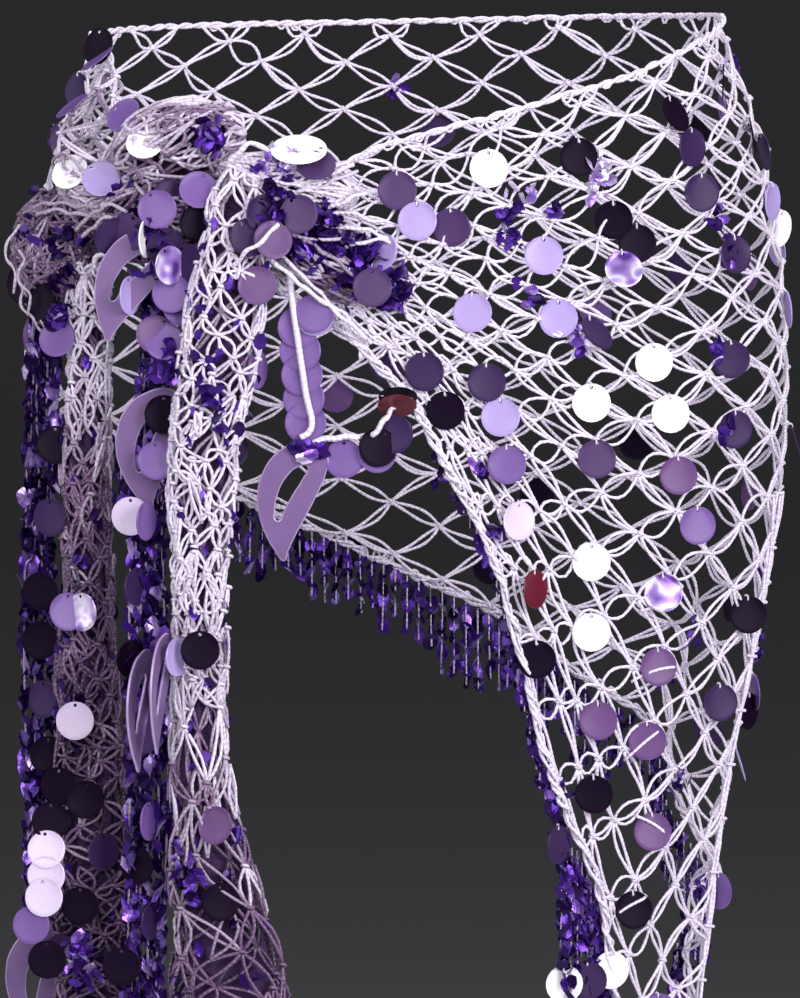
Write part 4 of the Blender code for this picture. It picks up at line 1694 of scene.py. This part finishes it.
def hang_paillette(batch, loops, angle, middle, tone, lean, swing):
    """A paillette on the net, its middle at that angle and height, and its loop of yarn."""
    hole, outward = worn(angle, middle + HOLE_UP * PAILLETTE_RADIUS, PAILLETTE_OUT)
    hole, outward = np.array(hole), np.array(outward)
    paillette(batch, hole, tilted(outward, lean, swing), np.array([0, 0, -1.0]), tone)
    hanging_loop(loops, hole - outward * LOOP_BACK, outward)


def foil_cluster(batch, angle, height, count, tone, chance):
    """A few foil sequins crumpled together on the net."""
    for _ in range(count):
        spot = (angle + chance.gauss(0, CLUSTER_AROUND), height + chance.gauss(0, CLUSTER_DOWN))
        place, outward = worn(*spot, NET_OUT + chance.uniform(0.5, 3.5))
        face = tilted(np.array(outward), chance.uniform(-50, 50), chance.uniform(-60, 60))
        long_way = np.array([chance.uniform(-1, 1), chance.uniform(-0.4, 0.4), chance.uniform(-1, 1)])
        tone_with_glints = clamped(chance.gauss(tone, 0.25), 0.0, GLINT_TONE_CAP)
        size = NET_FOIL_RADIUS * chance.uniform(0.8, 1.3)
        foil(batch, np.array(place), face, long_way, size, tone_with_glints, chance)


def crossing_strand(batch, angle, height, turn, above, bow):
    """Strand that rises from the net, passes over a paillette and goes back into the net."""
    turn, facing = math.radians(turn), math.radians(FACE_FRONT * angle)
    t = np.linspace(-1, 1, 9)
    along, across = CROSSING_REACH * t, above + bow * (1 - t**2)
    aside = along * math.cos(turn) - across * math.sin(turn)
    heights = height + along * math.sin(turn) + across * math.cos(turn)
    over = 1 - t**4
    outs = NET_OUT + (PAILLETTE_OUT - NET_OUT + CROSSING_OUT + aside * math.sin(facing)) * over
    points, outward = worn(ring_angle(ring_length(angle) + aside), heights, outs)
    tube(batch, points, outward, STRAND_RADIUS)


def front_paillettes(loops, chance):
    """Paillettes and foil that show at the front, and the strands that lie over some of them."""
    batch = Batch("paillettes_front")
    for angle, middle, tone, lean, swing in FRONT_PAILLETTES:
        lean = lean + chance.uniform(-LEAN_STRAY, LEAN_STRAY)
        swing = swing - FACE_FRONT * angle + chance.uniform(-SWING_STRAY, SWING_STRAY)
        name = panel_of((float(ring_length(angle)), middle))
        hang_paillette(batch, loops[name], angle, middle, tone, lean, swing)
    for row in CROSSING_STRANDS:
        crossing_strand(loops["net_front_drape"], *row)
    for row in NET_FOILS:
        foil_cluster(batch, *row, chance)
    return batch


def side_paillettes(loops, held, chance):
    """Paillettes and foil of the sides and back, hung from some of the net's knots."""
    batch = Batch("paillettes_sides_and_back")
    for _, knot in sorted(held.items()):
        angle = float(ring_angle(knot.place[0]))
        if angle < FRONT_REACH or chance.random() > SIDE_SHARE:
            continue
        if chance.random() < SIDE_FOIL_SHARE / SIDE_SHARE:
            count = chance.randint(*SIDE_CLUSTER)
            foil_cluster(batch, angle, knot.place[1], count, SIDE_FOIL_TONE, chance)
            continue
        middle = knot.place[1] - HOLE_UP * PAILLETTE_RADIUS - KNOT_TO_HOLE
        lean, swing = chance.gauss(*SIDE_LEAN), chance.gauss(*SIDE_SWING)
        name = panel_of(knot.place)
        tone = chance.choice(SIDE_TONES if angle < BACK_START else BACK_SHADE_TONES)
        hang_paillette(batch, loops[name], angle, middle, tone, lean, swing)
    return batch


# Paillettes of the knot and tails: x, y, z of the middle, tone (the lit copy, with its painted glare,
# reflection or shade), lean, swing, tilt of the hang
KNOT_PAILLETTES = (
    (-158, -90.5, -71, "white", 30, -25, 20),
    (-143, -98, -74, "pale", 25, -5, 40),
    (-122, -114, -57, "white", 35, -10, -30),
    (-133, -97, -44.5, "mid", 33, -40, 50),
    (-146, -68, -18.5, "mid", 51, -72, 62),
    (-146, -62, -13, "dark", 15, -40, 10),
    (-158, -71, -40.5, "mid", 51, -72, 55),
    (-116, -130, -87.5, "mid", 5, 0, 25),
    (-109.5, -124, -82, "plum", 10, 20, -30),
    (-97, -128, -78.5, "mid", 20, 10, -20),
    (-97, -127, -94, "dark", 0, 15, 20),
    (-137, -124, -100, "plum", -20, 30, 35),
    (-129.5, -126, -98, "grape", -10, -30, -30),
    (-112, -127, -105, "plum", -10, 10, -15),
    (-109.5, -130, -126, "mid", 8, -5, 10),
    (-117, -126, -145, "mauve", 10, 10, -35),
    (-121, -127, -101, "white", 0, 70, 10),
    (-51, -141, -89.5, "grape", 8, -12, 30),
    (-62.5, -144, -101, "mauve", 12, 15, -25),
    (-67, -139, -89.5, "plum", 0, 30, 10),
    (-73.5, -142, -100, "plum", 10, 10, 30),
    (-70, -141, -122, "mauve", 10, 0, 40),
    (-44, -134, -135, "mid", 4, -6, -30),
    (-17.5, -137.5, -123, "grape", 6, 0, 0),
    (-43, -137, -67, "grape", 42, 0, 20),
    (-156, -99, -326, "milk", 4, -8, 0),
    (-173, -82, -267, "dark", 0, -18, 0),
    (-173, -82, -290, "dark", 0, -12, 0),
    (-159, -99, -275, "mid", 6, 20, 0),
    (-152.5, -101, -275, "shot", 0, -40, 10),
    (-167.5, -98, -373, "dark", 5, 0, 0),
    (-151.5, -98, -363, "dark", 0, 12, 0),
    (-169.5, -101, -386, "milk", 14, -10, 8),
    (-169.5, -103, -398, "milk", 6, -10, 8),
    (-170.5, -105, -408, "milk", 6, -10, 6),
    (-176.5, -104, -421, "mid", 6, -14, 12),
    (-169, -106, -437, "dark", 0, 0, 0),
    (-154, -97, -413, "dark", 0, -8, 0),
    (-134, -115, -439, "dark", 0, 0, 0),
    (-129, -120, -229, "milk", 0, -10, 0),
    (-116.5, -125, -203, "mid", 6, 0, 8),
    (-113.5, -121, -182, "dark", 5, 10, 0),
    (-121.5, -124.5, -231, "mid", 0, 62, 0),
    (-96.5, -137, -289.5, "dark", 3, 6, 0),
    (-107, -133, -293, "pale", 0, 55, 0),
    (-90, -132, -371, "mauve", 12, -30, 30),
    (-87.5, -128, -407, "dark", 0, 16, 0),
    (-121, -116, -371, "mid", 0, 66, 0),
    (-164, -96, -357, "dark", 0, -20, 0),
    (-182, -72, -124, "dark", 0, -40, 0),
    (-70, -128, -161, "mid", 0, 62, 0),
    (-110, -133, -113, "shot", 0, 45, 35),
    (-105, -126, -132, "mid", 10, 12, 0),
    (-113, -127, -148, "mid", 20, 0, 20),
    (-128.5, -126, -127, "pale", 0, 60, 25),
    (-102, -130, -112, "plum", 0, -30, 30),
    (-164, -94, -148, "mid", 16, -20, 0),
    (-14, -130, -107, "pale", 10, -30, 0),
    (-177, -80, -107, "mid", 0, -50, 10),
    (-172, -86, -132, "dark", 0, -40, 0),
    (-122, -121, -330, "plum", 0, 40, 0),
    (-118, -119, -310, "mid", 0, 74, 0),
    (-100, -131, -470, "mid", 5, -20, 0),
    (-150, -97, -480, "plum", 5, 15, 0),
    (-168, -88, -232, "plum", 0, -30, 0),
    (-165, -90, -198, "dark", 5, 10, 0),
    (-172, -80, -318, "plum", 0, -40, 0),
    (-169, -90, -343, "dark", 0, 20, 0),
    (-126, -115, -262, "plum", 0, 50, 0),
    (-128, -114, -296, "dark", 0, 30, 0),
    (-127, -113, -392, "dark", 0, -30, 0),
    (-143, -95, -388, "plum", 0, 40, 0),
    (-163, -92, -436, "plum", 0, -20, 0),
    (-120, -113, -418, "plum", 0, 60, 0),
)
# The one large paillette, on top of the knot, in the white copy, a painted glare
LARGE_PAILLETTE = (-51, -134, -60, "white", 60, 0, -75)
LARGE_RADIUS = 13.0


def knot_paillettes():
    """Paillettes of the knot and the tails, each hung so that its middle lies where its row says."""
    batch = Batch("paillettes_knot_and_tails")
    for row in (*KNOT_PAILLETTES, LARGE_PAILLETTE):
        x, y, z, tone, lean, swing, tilt = row
        radius = LARGE_RADIUS if row is LARGE_PAILLETTE else PAILLETTE_RADIUS
        down = downward(tilt)
        outward = tilted(FRONTWARD, lean, swing)
        along = unit(down - outward * np.dot(down, outward) / np.dot(outward, outward))
        hole = np.array([x, y, z], float) - along * HOLE_UP * radius
        paillette(batch, hole, outward, down, tone, radius)
    return batch


# Clusters of foil in the knot: middle, reach, how many, and tone, where high tones paint glints
FOIL_CLUSTERS = (
    ((-38, -131, -92), (6, 4, 10), 36, 0.24),
    ((-40, -130, -102), (12, 4, 8), 50, 0.26),
    ((-25, -130, -111), (13, 4, 10), 80, 0.28),
    ((-10, -129, -125), (11, 4, 8), 56, 0.28),
    ((-50, -133, -105), (12, 4, 8), 34, 0.22),
    ((-120, -126, -104), (9, 5, 16), 40, 0.26),
    ((-92, -118, -55), (6, 6, 7), 40, 0.50),
    ((-58, -134, -67), (9, 3, 7), 44, 0.95),
    ((-62, -137, -88), (10, 5, 14), 36, 0.30),
    ((-162, -88, -126), (13, 8, 14), 22, 0.10),
    ((-164, -88, -104), (14, 6, 12), 14, 0.10),
    ((-163.5, -94, -138), (3, 2.5, 3), 22, 0.50),
    ((-176, -76, -100), (6, 9, 16), 26, 0.26),
    ((-108, -127, -160), (9, 4, 11), 44, 0.50),
    ((-90, -138, -170), (8, 3, 22), 26, 0.45),
    ((-128, -105, -84), (10, 6, 6), 26, 0.36),
    ((-154, -97, -438), (8, 4, 12), 40, 0.66),
    ((-103, -127, -394), (8, 4, 16), 26, 0.30),
)
# Foil caught between the strands of each tail: start and end share, how many, tone, darker further down each
# tail, where high tones paint glints
TAIL_FOILS = {
    "tail_centre": ((0.06, 0.30, 60, 0.42), (0.30, 0.66, 46, 0.36), (0.66, 0.96, 30, 0.24)),
    "tail_side": ((0.04, 0.30, 30, 0.40), (0.30, 0.97, 110, 0.20)),
}
FOIL_IN_GATHER = -1.2
KNOT_FOIL_RADIUS, TAIL_FOIL_RADIUS = 3.3, 3.0


def foil_in_knot(batch, middle, reach, count, tone, chance):
    """One loose cluster of foil sequins caught in the knot."""
    for _ in range(count):
        off = np.array([chance.gauss(0, 0.5) for _ in range(3)]) * np.array(reach)
        place = clear_of_figure((np.array(middle, float) + off)[None, :])[0]
        face = tilted(FRONTWARD, chance.uniform(-60, 60), chance.uniform(-75, 75))
        long_way = np.array([chance.uniform(-1, 1), 0, chance.uniform(-1, 1) - 0.3])
        tone_with_glints = clamped(chance.gauss(tone, 0.25), 0.0, GLINT_TONE_CAP)
        size = KNOT_FOIL_RADIUS * chance.uniform(0.8, 1.3)
        foil(batch, place, face, long_way, size, tone_with_glints, chance)


def foil_in_tail(batch, form, start, end, count, tone, chance):
    """Foil sequins caught between the strands of a stretch of a tail."""
    for _ in range(count):
        around, share = chance.random(), chance.uniform(start, end)
        place, outward = form(around, share, FOIL_IN_GATHER + chance.uniform(-1.5, 1.5))
        face = tilted(outward, chance.uniform(-40, 40), chance.uniform(-60, 60))
        long_way = np.array([chance.uniform(-0.4, 0.4), 0, -1])
        tone_with_glints = clamped(chance.gauss(tone, 0.2), 0.0, 1.0)
        size = TAIL_FOIL_RADIUS * chance.uniform(0.8, 1.3)
        foil(batch, place, face, long_way, size, tone_with_glints, chance)


def knot_foil(chance):
    """All the foil caught in the knot and the tails."""
    batch = Batch("knot_foil_sequins")
    for row in FOIL_CLUSTERS:
        foil_in_knot(batch, *row, chance)
    for name, rows in TAIL_FOILS.items():
        for row in rows:
            foil_in_tail(batch, FORMS[name], *row, chance)
    return batch


# ---------------------------------------------------------------- strand and its link

STRAND_CORD_RADIUS = 1.5
# The cord doesn't run along this direction
OFF_CORD = (0, -1, 0.02)
STRAND_LINE = (
    (-55.5, -130.5, -116),
    (-54.7, -132.2, -124),
    (-53.3, -132.6, -135.7),
    (-51.9, -132.6, -144.9),
    (-50.6, -132.6, -154.0),
    (-49.2, -132.6, -163.2),
    (-47.8, -132.6, -172.4),
    (-46.2, -132.6, -179.3),
    (-45.2, -132.6, -183.6),
    (-45.4, -132.6, -187.4),
    (-47.4, -132.6, -190.4),
    (-50.6, -132.6, -191.9),
)
# Threads that carry the link from the strand to the net's edge: radius, places
LINK_THREADS = (
    (1.4, ((-44.5, -132.0, -194.5), (-39.0, -132.4, -192.6), (-31.5, -132.6, -191.6),
      (-24.5, -131.6, -192.2))),
    (1.3, ((-25.0, -131.8, -192.2), (-21.4, -128.8, -192.0), (-18.6, -129.6, -191.4),
      (-17.0, -133.0, -190.4))),
    (1.3, ((-17.3, -132.7, -190.8), (-14.6, -133.2, -187.6), (-10.5, -132.8, -182.7))),
    (1.1, ((-10.6, -132.6, -183.0), (-8.2, -129.2, -179.0), (-1.0, -129.0, -175.6))),
)
# Scales threaded on the strand: how many, the middles of the first and last, and their radius
SCALLOPS = 5
SCALLOP_TOP, SCALLOP_FOOT = -141.4, -185.4
SCALLOP_RADIUS = 9.6
SCALLOP_DEPTH = -130.2
# The slant of the strand, as x at two drops below the top border
SLANT_DROPS, SLANT_PLACES = (140, 200), (-51.5, -47.0)
# The pale paillette above them, a painted pale reflection: its hole, and the way it hangs
TOP_SCALE_HOLE, TOP_SCALE_DOWN = (-46.0, -130.9, -129.6), (0.3, 0, -1.0)

# Paillettes of the link: x, y, z of the middle, tone (the lit copy; red is a painted red reflection), lean,
# swing, tilt
LINK_PAILLETTES = (
    (-30.5, -130.4, -201.9, "mid", 3, 0, 0),
    (-15.4, -130.2, -199.4, "mid", 2, 10, -18),
    (-15.0, -131.0, -196.6, "dark", 4, 10, -30),
    (-5.8, -130.0, -174.4, "dark", -58, 0, 80),
    (-7.6, -130.0, -190.5, "plum", 2, -8, 35),
    (-6.2, -131.5, -178.4, "red", -52, 0, 80),
)
# Foil at the foot of the strand: x, y, z, radius, tone, where tones above about one paint glints
STRAND_FOILS = (
    (-50.5, -132.6, -196.5, 5.4, 0.42),
    (-42.0, -132.8, -197.0, 4.4, 0.60),
    (-40.5, -132.4, -199.5, 3.4, 0.35),
    (-45.0, -133.6, -199.2, 3.8, 1.05),
    (-48.5, -133.4, -201.2, 4.0, 1.35),
)


def strand_scales():
    """The paillettes threaded on the strand like scales, and the pale one over their top, painted with a pale
    reflection.
    """
    batch = Batch("strand_scallops")
    for n, z in enumerate(np.linspace(SCALLOP_TOP, SCALLOP_FOOT, SCALLOPS)):
        x = float(np.interp(-z, SLANT_DROPS, SLANT_PLACES))
        middle = np.array([x, SCALLOP_DEPTH + 0.2 * (n % 2), z])
        down = np.array([0.05, 0, -1.0])
        hole = middle - down * HOLE_UP * SCALLOP_RADIUS
        paillette(batch, hole, tilted(FRONTWARD, 3, 3 * (-1) ** n), down, "mid", SCALLOP_RADIUS)
    paillette(batch, np.array(TOP_SCALE_HOLE), tilted(FRONTWARD, 3, 6), np.array(TOP_SCALE_DOWN), "pale")
    return batch


def strand_link(chance):
    """The paillettes and threads between the strand's foot and the net, and the foil above the leaf."""
    batch = Batch("strand_link_paillettes")
    for x, y, z, tone, lean, swing, tilt in LINK_PAILLETTES:
        down = downward(tilt)
        hole = np.array([x, y, z], float) - down * HOLE_UP * PAILLETTE_RADIUS
        paillette(batch, hole, tilted(FRONTWARD, lean, swing), down, tone)
    for x, y, z, radius, tone in STRAND_FOILS:
        long_way = np.array([1.0, 0, chance.uniform(-0.3, 0.3)])
        foil(batch, np.array([x, y, z], float), FRONTWARD, long_way, radius, tone, chance)
    for radius, places in LINK_THREADS:
        tube(batch, uneven_path(places), OFF_STRANDS, radius, sides=LOOSE_SIDES)
    return batch


def white_cord(path):
    """The plain white cord over the scales."""
    batch = Batch("strand_cord")
    tube(batch, path, OFF_CORD, STRAND_CORD_RADIUS, sides=CORD_SIDES)
    return batch


# ---------------------------------------------------------------- leaf pendants

LEAF_LENGTH = 54.0
# Outlines of the leaf and its slot: share of the length, left edge, right edge
LEAF = (
    (0.00, -5.5, 8.5),
    (0.11, -14.5, 11.5),
    (0.27, -19.5, 10.0),
    (0.44, -21.5, 6.0),
    (0.62, -20.5, 1.0),
    (0.80, -17.0, -4.2),
    (0.92, -13.0, -7.2),
    (1.00, -9.0, -9.0),
)
SLOT = (
    (0.19, -1.5, 1.5),
    (0.30, -8.5, -0.8),
    (0.44, -12.0, -5.5),
    (0.57, -13.2, -9.2),
    (0.65, -12.6, -11.2),
)
# Leaves: x, y, z of the top, tilt, yaw
PENDANTS = {
    "pendant_strand": (-49.0, -130.5, -195.0, 0.0, 0.0),
    "pendant_knot": (-117.0, -125.0, -98.0, 14.0, 0.0),
    "pendant_behind_tail": (-118.0, -116.5, -172.0, -8.0, 0.0),
    "pendant_side_foot": (-176.0, -70.0, -428.0, -16.0, 0.0),
    "pendant_edge_upper": (-113.2, -128.7, -284.0, 4.0, 76.0),
    "pendant_edge_lower": (-123.0, -126.3, -292.0, -3.0, 70.0),
}
PENDANT_WALL = 1.2
PENDANT_BEVEL = 0.55
PENDANT_FINENESS = 6
# Cosine of the widest turn of a face that still counts as flat
FLAT_FACE = 0.98


def leaf_loop(table):
    """Outline down the left side of a leaf table and back up its right side."""
    down = [(left, -along * LEAF_LENGTH) for along, left, right in table]
    up = [(right, -along * LEAF_LENGTH) for along, left, right in reversed(table)]
    return down + (up[1:] if up[0] == down[-1] else up)


def leaf_curve(name):
    """Smooth outline of the leaf and its slot, with the leaf's wall and bevel."""
    curve = bpy.data.curves.new(name + "_leaf", "CURVE")
    curve.dimensions = "2D"
    curve.fill_mode = "BOTH"
    curve.extrude = (PENDANT_WALL / 2 - PENDANT_BEVEL) * MM
    curve.bevel_depth = PENDANT_BEVEL * MM
    curve.bevel_resolution = 2
    curve.offset = -PENDANT_BEVEL * MM
    for loop in (leaf_loop(LEAF), leaf_loop(SLOT)):
        spline = curve.splines.new("BEZIER")
        spline.bezier_points.add(len(loop) - 1)
        spline.use_cyclic_u = True
        spline.resolution_u = PENDANT_FINENESS
        for point, (across, up) in zip(spline.bezier_points, loop):
            point.co = (across * MM, up * MM, 0.0)
            point.handle_left_type = point.handle_right_type = "AUTO"
    return curve


def leaf_pendant(name, x, y, z, tilt, yaw):
    """Bevelled leaf with a slot, in the place of the plain solid."""
    shaped = add_object(name + "_shape", leaf_curve(name))
    shaped.location = (x * MM, y * MM, z * MM)
    shaped.rotation_euler = (math.radians(90), math.radians(tilt), math.radians(yaw))
    bpy.context.view_layer.update()
    graph = bpy.context.evaluated_depsgraph_get()
    mesh = bpy.data.meshes.new_from_object(shaped.evaluated_get(graph))
    mesh.transform(shaped.matrix_world)
    face_way = shaped.matrix_world.to_3x3() @ Vector((0, 0, 1))
    bpy.data.objects.remove(shaped)
    mesh.materials.clear()
    mesh.materials.append(MATERIALS["pendant"])
    mesh.materials.append(MATERIALS["pendant_edge"])
    # The bevel's faces take the paler copy, a painted highlight round the rim
    for polygon in mesh.polygons:
        polygon.material_index = 0 if abs(polygon.normal.dot(face_way)) > FLAT_FACE else 1
    return add_object(name + "_leaf", mesh)


# ---------------------------------------------------------------- camera, stage and light

VIEW_DISTANCE = 3.0
VIEW_ELEVATION = math.radians(4.0)
VIEW_TARGET = Vector((-0.0048, 0.0, -0.2295))
VIEW_WIDTH = 0.384
PHOTO_SHAPE = 998 / 800
VIEW_HEIGHT = VIEW_WIDTH * PHOTO_SHAPE
SENSOR = 36.0


def make_camera():
    data = bpy.data.cameras.new("camera")
    data.sensor_width = SENSOR
    data.lens = SENSOR * VIEW_DISTANCE / VIEW_HEIGHT
    data.clip_end = 40.0
    camera = add_object("camera", data)
    back = Vector((0, -math.cos(VIEW_ELEVATION), math.sin(VIEW_ELEVATION)))
    camera.location = VIEW_TARGET + VIEW_DISTANCE * back
    camera.rotation_euler = (-back).to_track_quat("-Z", "Y").to_euler()
    bpy.context.scene.camera = camera


# Area lights: place, size, watts, colour
LIGHTS = {
    "key": ((1.25, -1.45, 0.30), 1.2, 40, (1.0, 0.98, 1.0)),
    "front": ((-0.55, -1.75, 0.65), 1.3, 23, (1.0, 0.99, 1.0)),
    "left": ((-1.7, -0.3, 0.3), 1.2, 12, (0.97, 0.96, 1.0)),
    "back": ((0.7, 1.9, 0.8), 1.5, 13, (1.0, 1.0, 1.0)),
    "top": ((0.0, 0.1, 1.6), 1.4, 12, (1.0, 1.0, 1.0)),
}
LIGHT_AIM = Vector((0.0, 0.0, -0.25))
FLOOR_HEIGHT = -1.0
FLOOR_RADIUS = 10.0
SWEEP_RADIUS = 4.0
WALL_TOP = 9.0
FLOOR_COLOUR = (0.62, 0.62, 0.64, 1)
WALL_COLOUR = (0.26, 0.26, 0.27, 1)
# The floor is pale up to the first distance and at its deepest from the second one on; the pale disc round
# the scarf is a painted pool of light
LIT_POOL_REACH, WALL_REACH = 1.6, 3.6
FLOOR_SIDES = 72
SWEEP_STEPS = 8
ROOM_COLOUR = (0.80, 0.80, 0.84, 1)
ROOM_STRENGTH = 0.12


def make_lights():
    for name, (place, size, watts, colour) in LIGHTS.items():
        data = bpy.data.lights.new(name, "AREA")
        data.size = size
        data.energy = watts
        data.color = colour
        lamp = add_object(name, data)
        lamp.location = place
        lamp.rotation_euler = (LIGHT_AIM - Vector(place)).to_track_quat("-Z", "Y").to_euler()
        lamp.visible_camera = False


def make_room():
    """Faint even light from all round, shown without any tone curve."""
    bpy.context.scene.view_settings.view_transform = "Standard"
    world = bpy.data.worlds.new("room")
    world.use_nodes = True
    room = world.node_tree.nodes["Background"]
    room.inputs["Color"].default_value = ROOM_COLOUR
    room.inputs["Strength"].default_value = ROOM_STRENGTH
    bpy.context.scene.world = world


def floor_material():
    """Painted pool of light: pale near the scarf, and a deeper grey further away."""
    nodes = Nodes("floor")
    place = nodes.add("ShaderNodeSeparateXYZ", [nodes.add("ShaderNodeTexCoord").outputs["Object"]])
    squares = [nodes.math("POWER", place.outputs[n], 2.0) for n in (0, 1)]
    reach = nodes.math("SQRT", nodes.math("ADD", *squares))
    span = WALL_REACH - LIT_POOL_REACH
    away = nodes.add("ShaderNodeMath", [reach, 1 / span, -LIT_POOL_REACH / span], operation="MULTIPLY_ADD")
    away.use_clamp = True
    colour = nodes.blend(away.outputs[0], FLOOR_COLOUR, WALL_COLOUR)
    return nodes.set(Base_Color=colour, Roughness=0.9)


def floor_profile():
    """Distance out and height of each ring of the floor, up its sweep to the top of the wall."""
    rings = [(FLOOR_RADIUS / 2, 0.0), (FLOOR_RADIUS, 0.0)]
    for n in range(1, SWEEP_STEPS + 1):
        turn = math.radians(90 * n / SWEEP_STEPS)
        out = FLOOR_RADIUS + SWEEP_RADIUS * math.sin(turn)
        rings.append((out, SWEEP_RADIUS * (1 - math.cos(turn))))
    rings.append((FLOOR_RADIUS + SWEEP_RADIUS, WALL_TOP))
    return rings


def make_floor():
    """Floor, painted pale round the scarf as a pool of light, that sweeps up into a round wall of a deeper
    grey, far from the scarf.
    """
    rings = floor_profile()
    points = [(0.0, 0.0, FLOOR_HEIGHT)]
    for out, height in rings:
        for n in range(FLOOR_SIDES):
            turn = 2 * math.pi * n / FLOOR_SIDES
            points.append((out * math.cos(turn), out * math.sin(turn), FLOOR_HEIGHT + height))
    faces = [(0, 1 + n, 1 + (n + 1) % FLOOR_SIDES) for n in range(FLOOR_SIDES)]
    starts = [1 + level * FLOOR_SIDES for level in range(len(rings))]
    faces.extend(joined_rings(starts, FLOOR_SIDES))
    mesh = bpy.data.meshes.new("floor")
    mesh.from_pydata(points, [], faces)
    mesh.materials.append(floor_material())
    mesh.shade_smooth()
    add_object("floor", mesh)


# ---------------------------------------------------------------- assembly

TRIM_SEED = 5


def settle(piece, slot, *replaced):
    """A piece rides on the scarf's one body and stands for its nodes, which it hides; its slot is not used.
    """
    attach(piece, "root")
    if replaced:
        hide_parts(*replaced)
    return piece


make_camera()
make_lights()
make_room()
make_floor()

nets, held_knots = make_net()
paillette_chance = random.Random(PAILLETTE_SEED)
net_paillettes = [
    front_paillettes(nets, paillette_chance),
    side_paillettes(nets, held_knots, paillette_chance),
]
net_pieces = {name: settle(batch.build(), "yarn", name) for name, batch in nets.items()}
for paillette_batch in net_paillettes:
    settle(paillette_batch.build(crisp=True), "sequin")

trim_chance = random.Random(TRIM_SEED)
for border_name, border_row in BORDERS.items():
    settle(border_cord(border_name, *border_row, trim_chance).build(), "yarn", border_name)
for fringe_name, fringe_start, fringe_end in EDGE_FRINGES:
    fringe = edge_fringe(fringe_name, fringe_start, fringe_end, trim_chance)
    settle(fringe.build(crisp=True), "sequin", fringe_name)

for gather_name in GATHER_LAYERS:
    gathered = gathered_piece(gather_name, trim_chance).build()
    net_pieces[gather_name] = settle(gathered, "yarn", gather_name)
for fringe_row in HANGING_SEQUINS:
    settle(hanging_sequins(*fringe_row, trim_chance).build(crisp=True), "sequin", fringe_row[0])
settle(loose_strands().build(), "yarn")
settle(knot_paillettes().build(crisp=True), "sequin")
settle(knot_foil(trim_chance).build(crisp=True), "sequin")

strand_path = fine_path(STRAND_LINE)
scallop_piece = settle(strand_scales().build(crisp=True), "sequin", "strand_scalloped")
link_piece = settle(strand_link(trim_chance).build(crisp=True), "sequin", "strand_link")
cord_piece = settle(white_cord(strand_path).build(), "yarn")
for pendant_name, pendant_row in PENDANTS.items():
    settle(leaf_pendant(pendant_name, *pendant_row), "pendant", pendant_name)
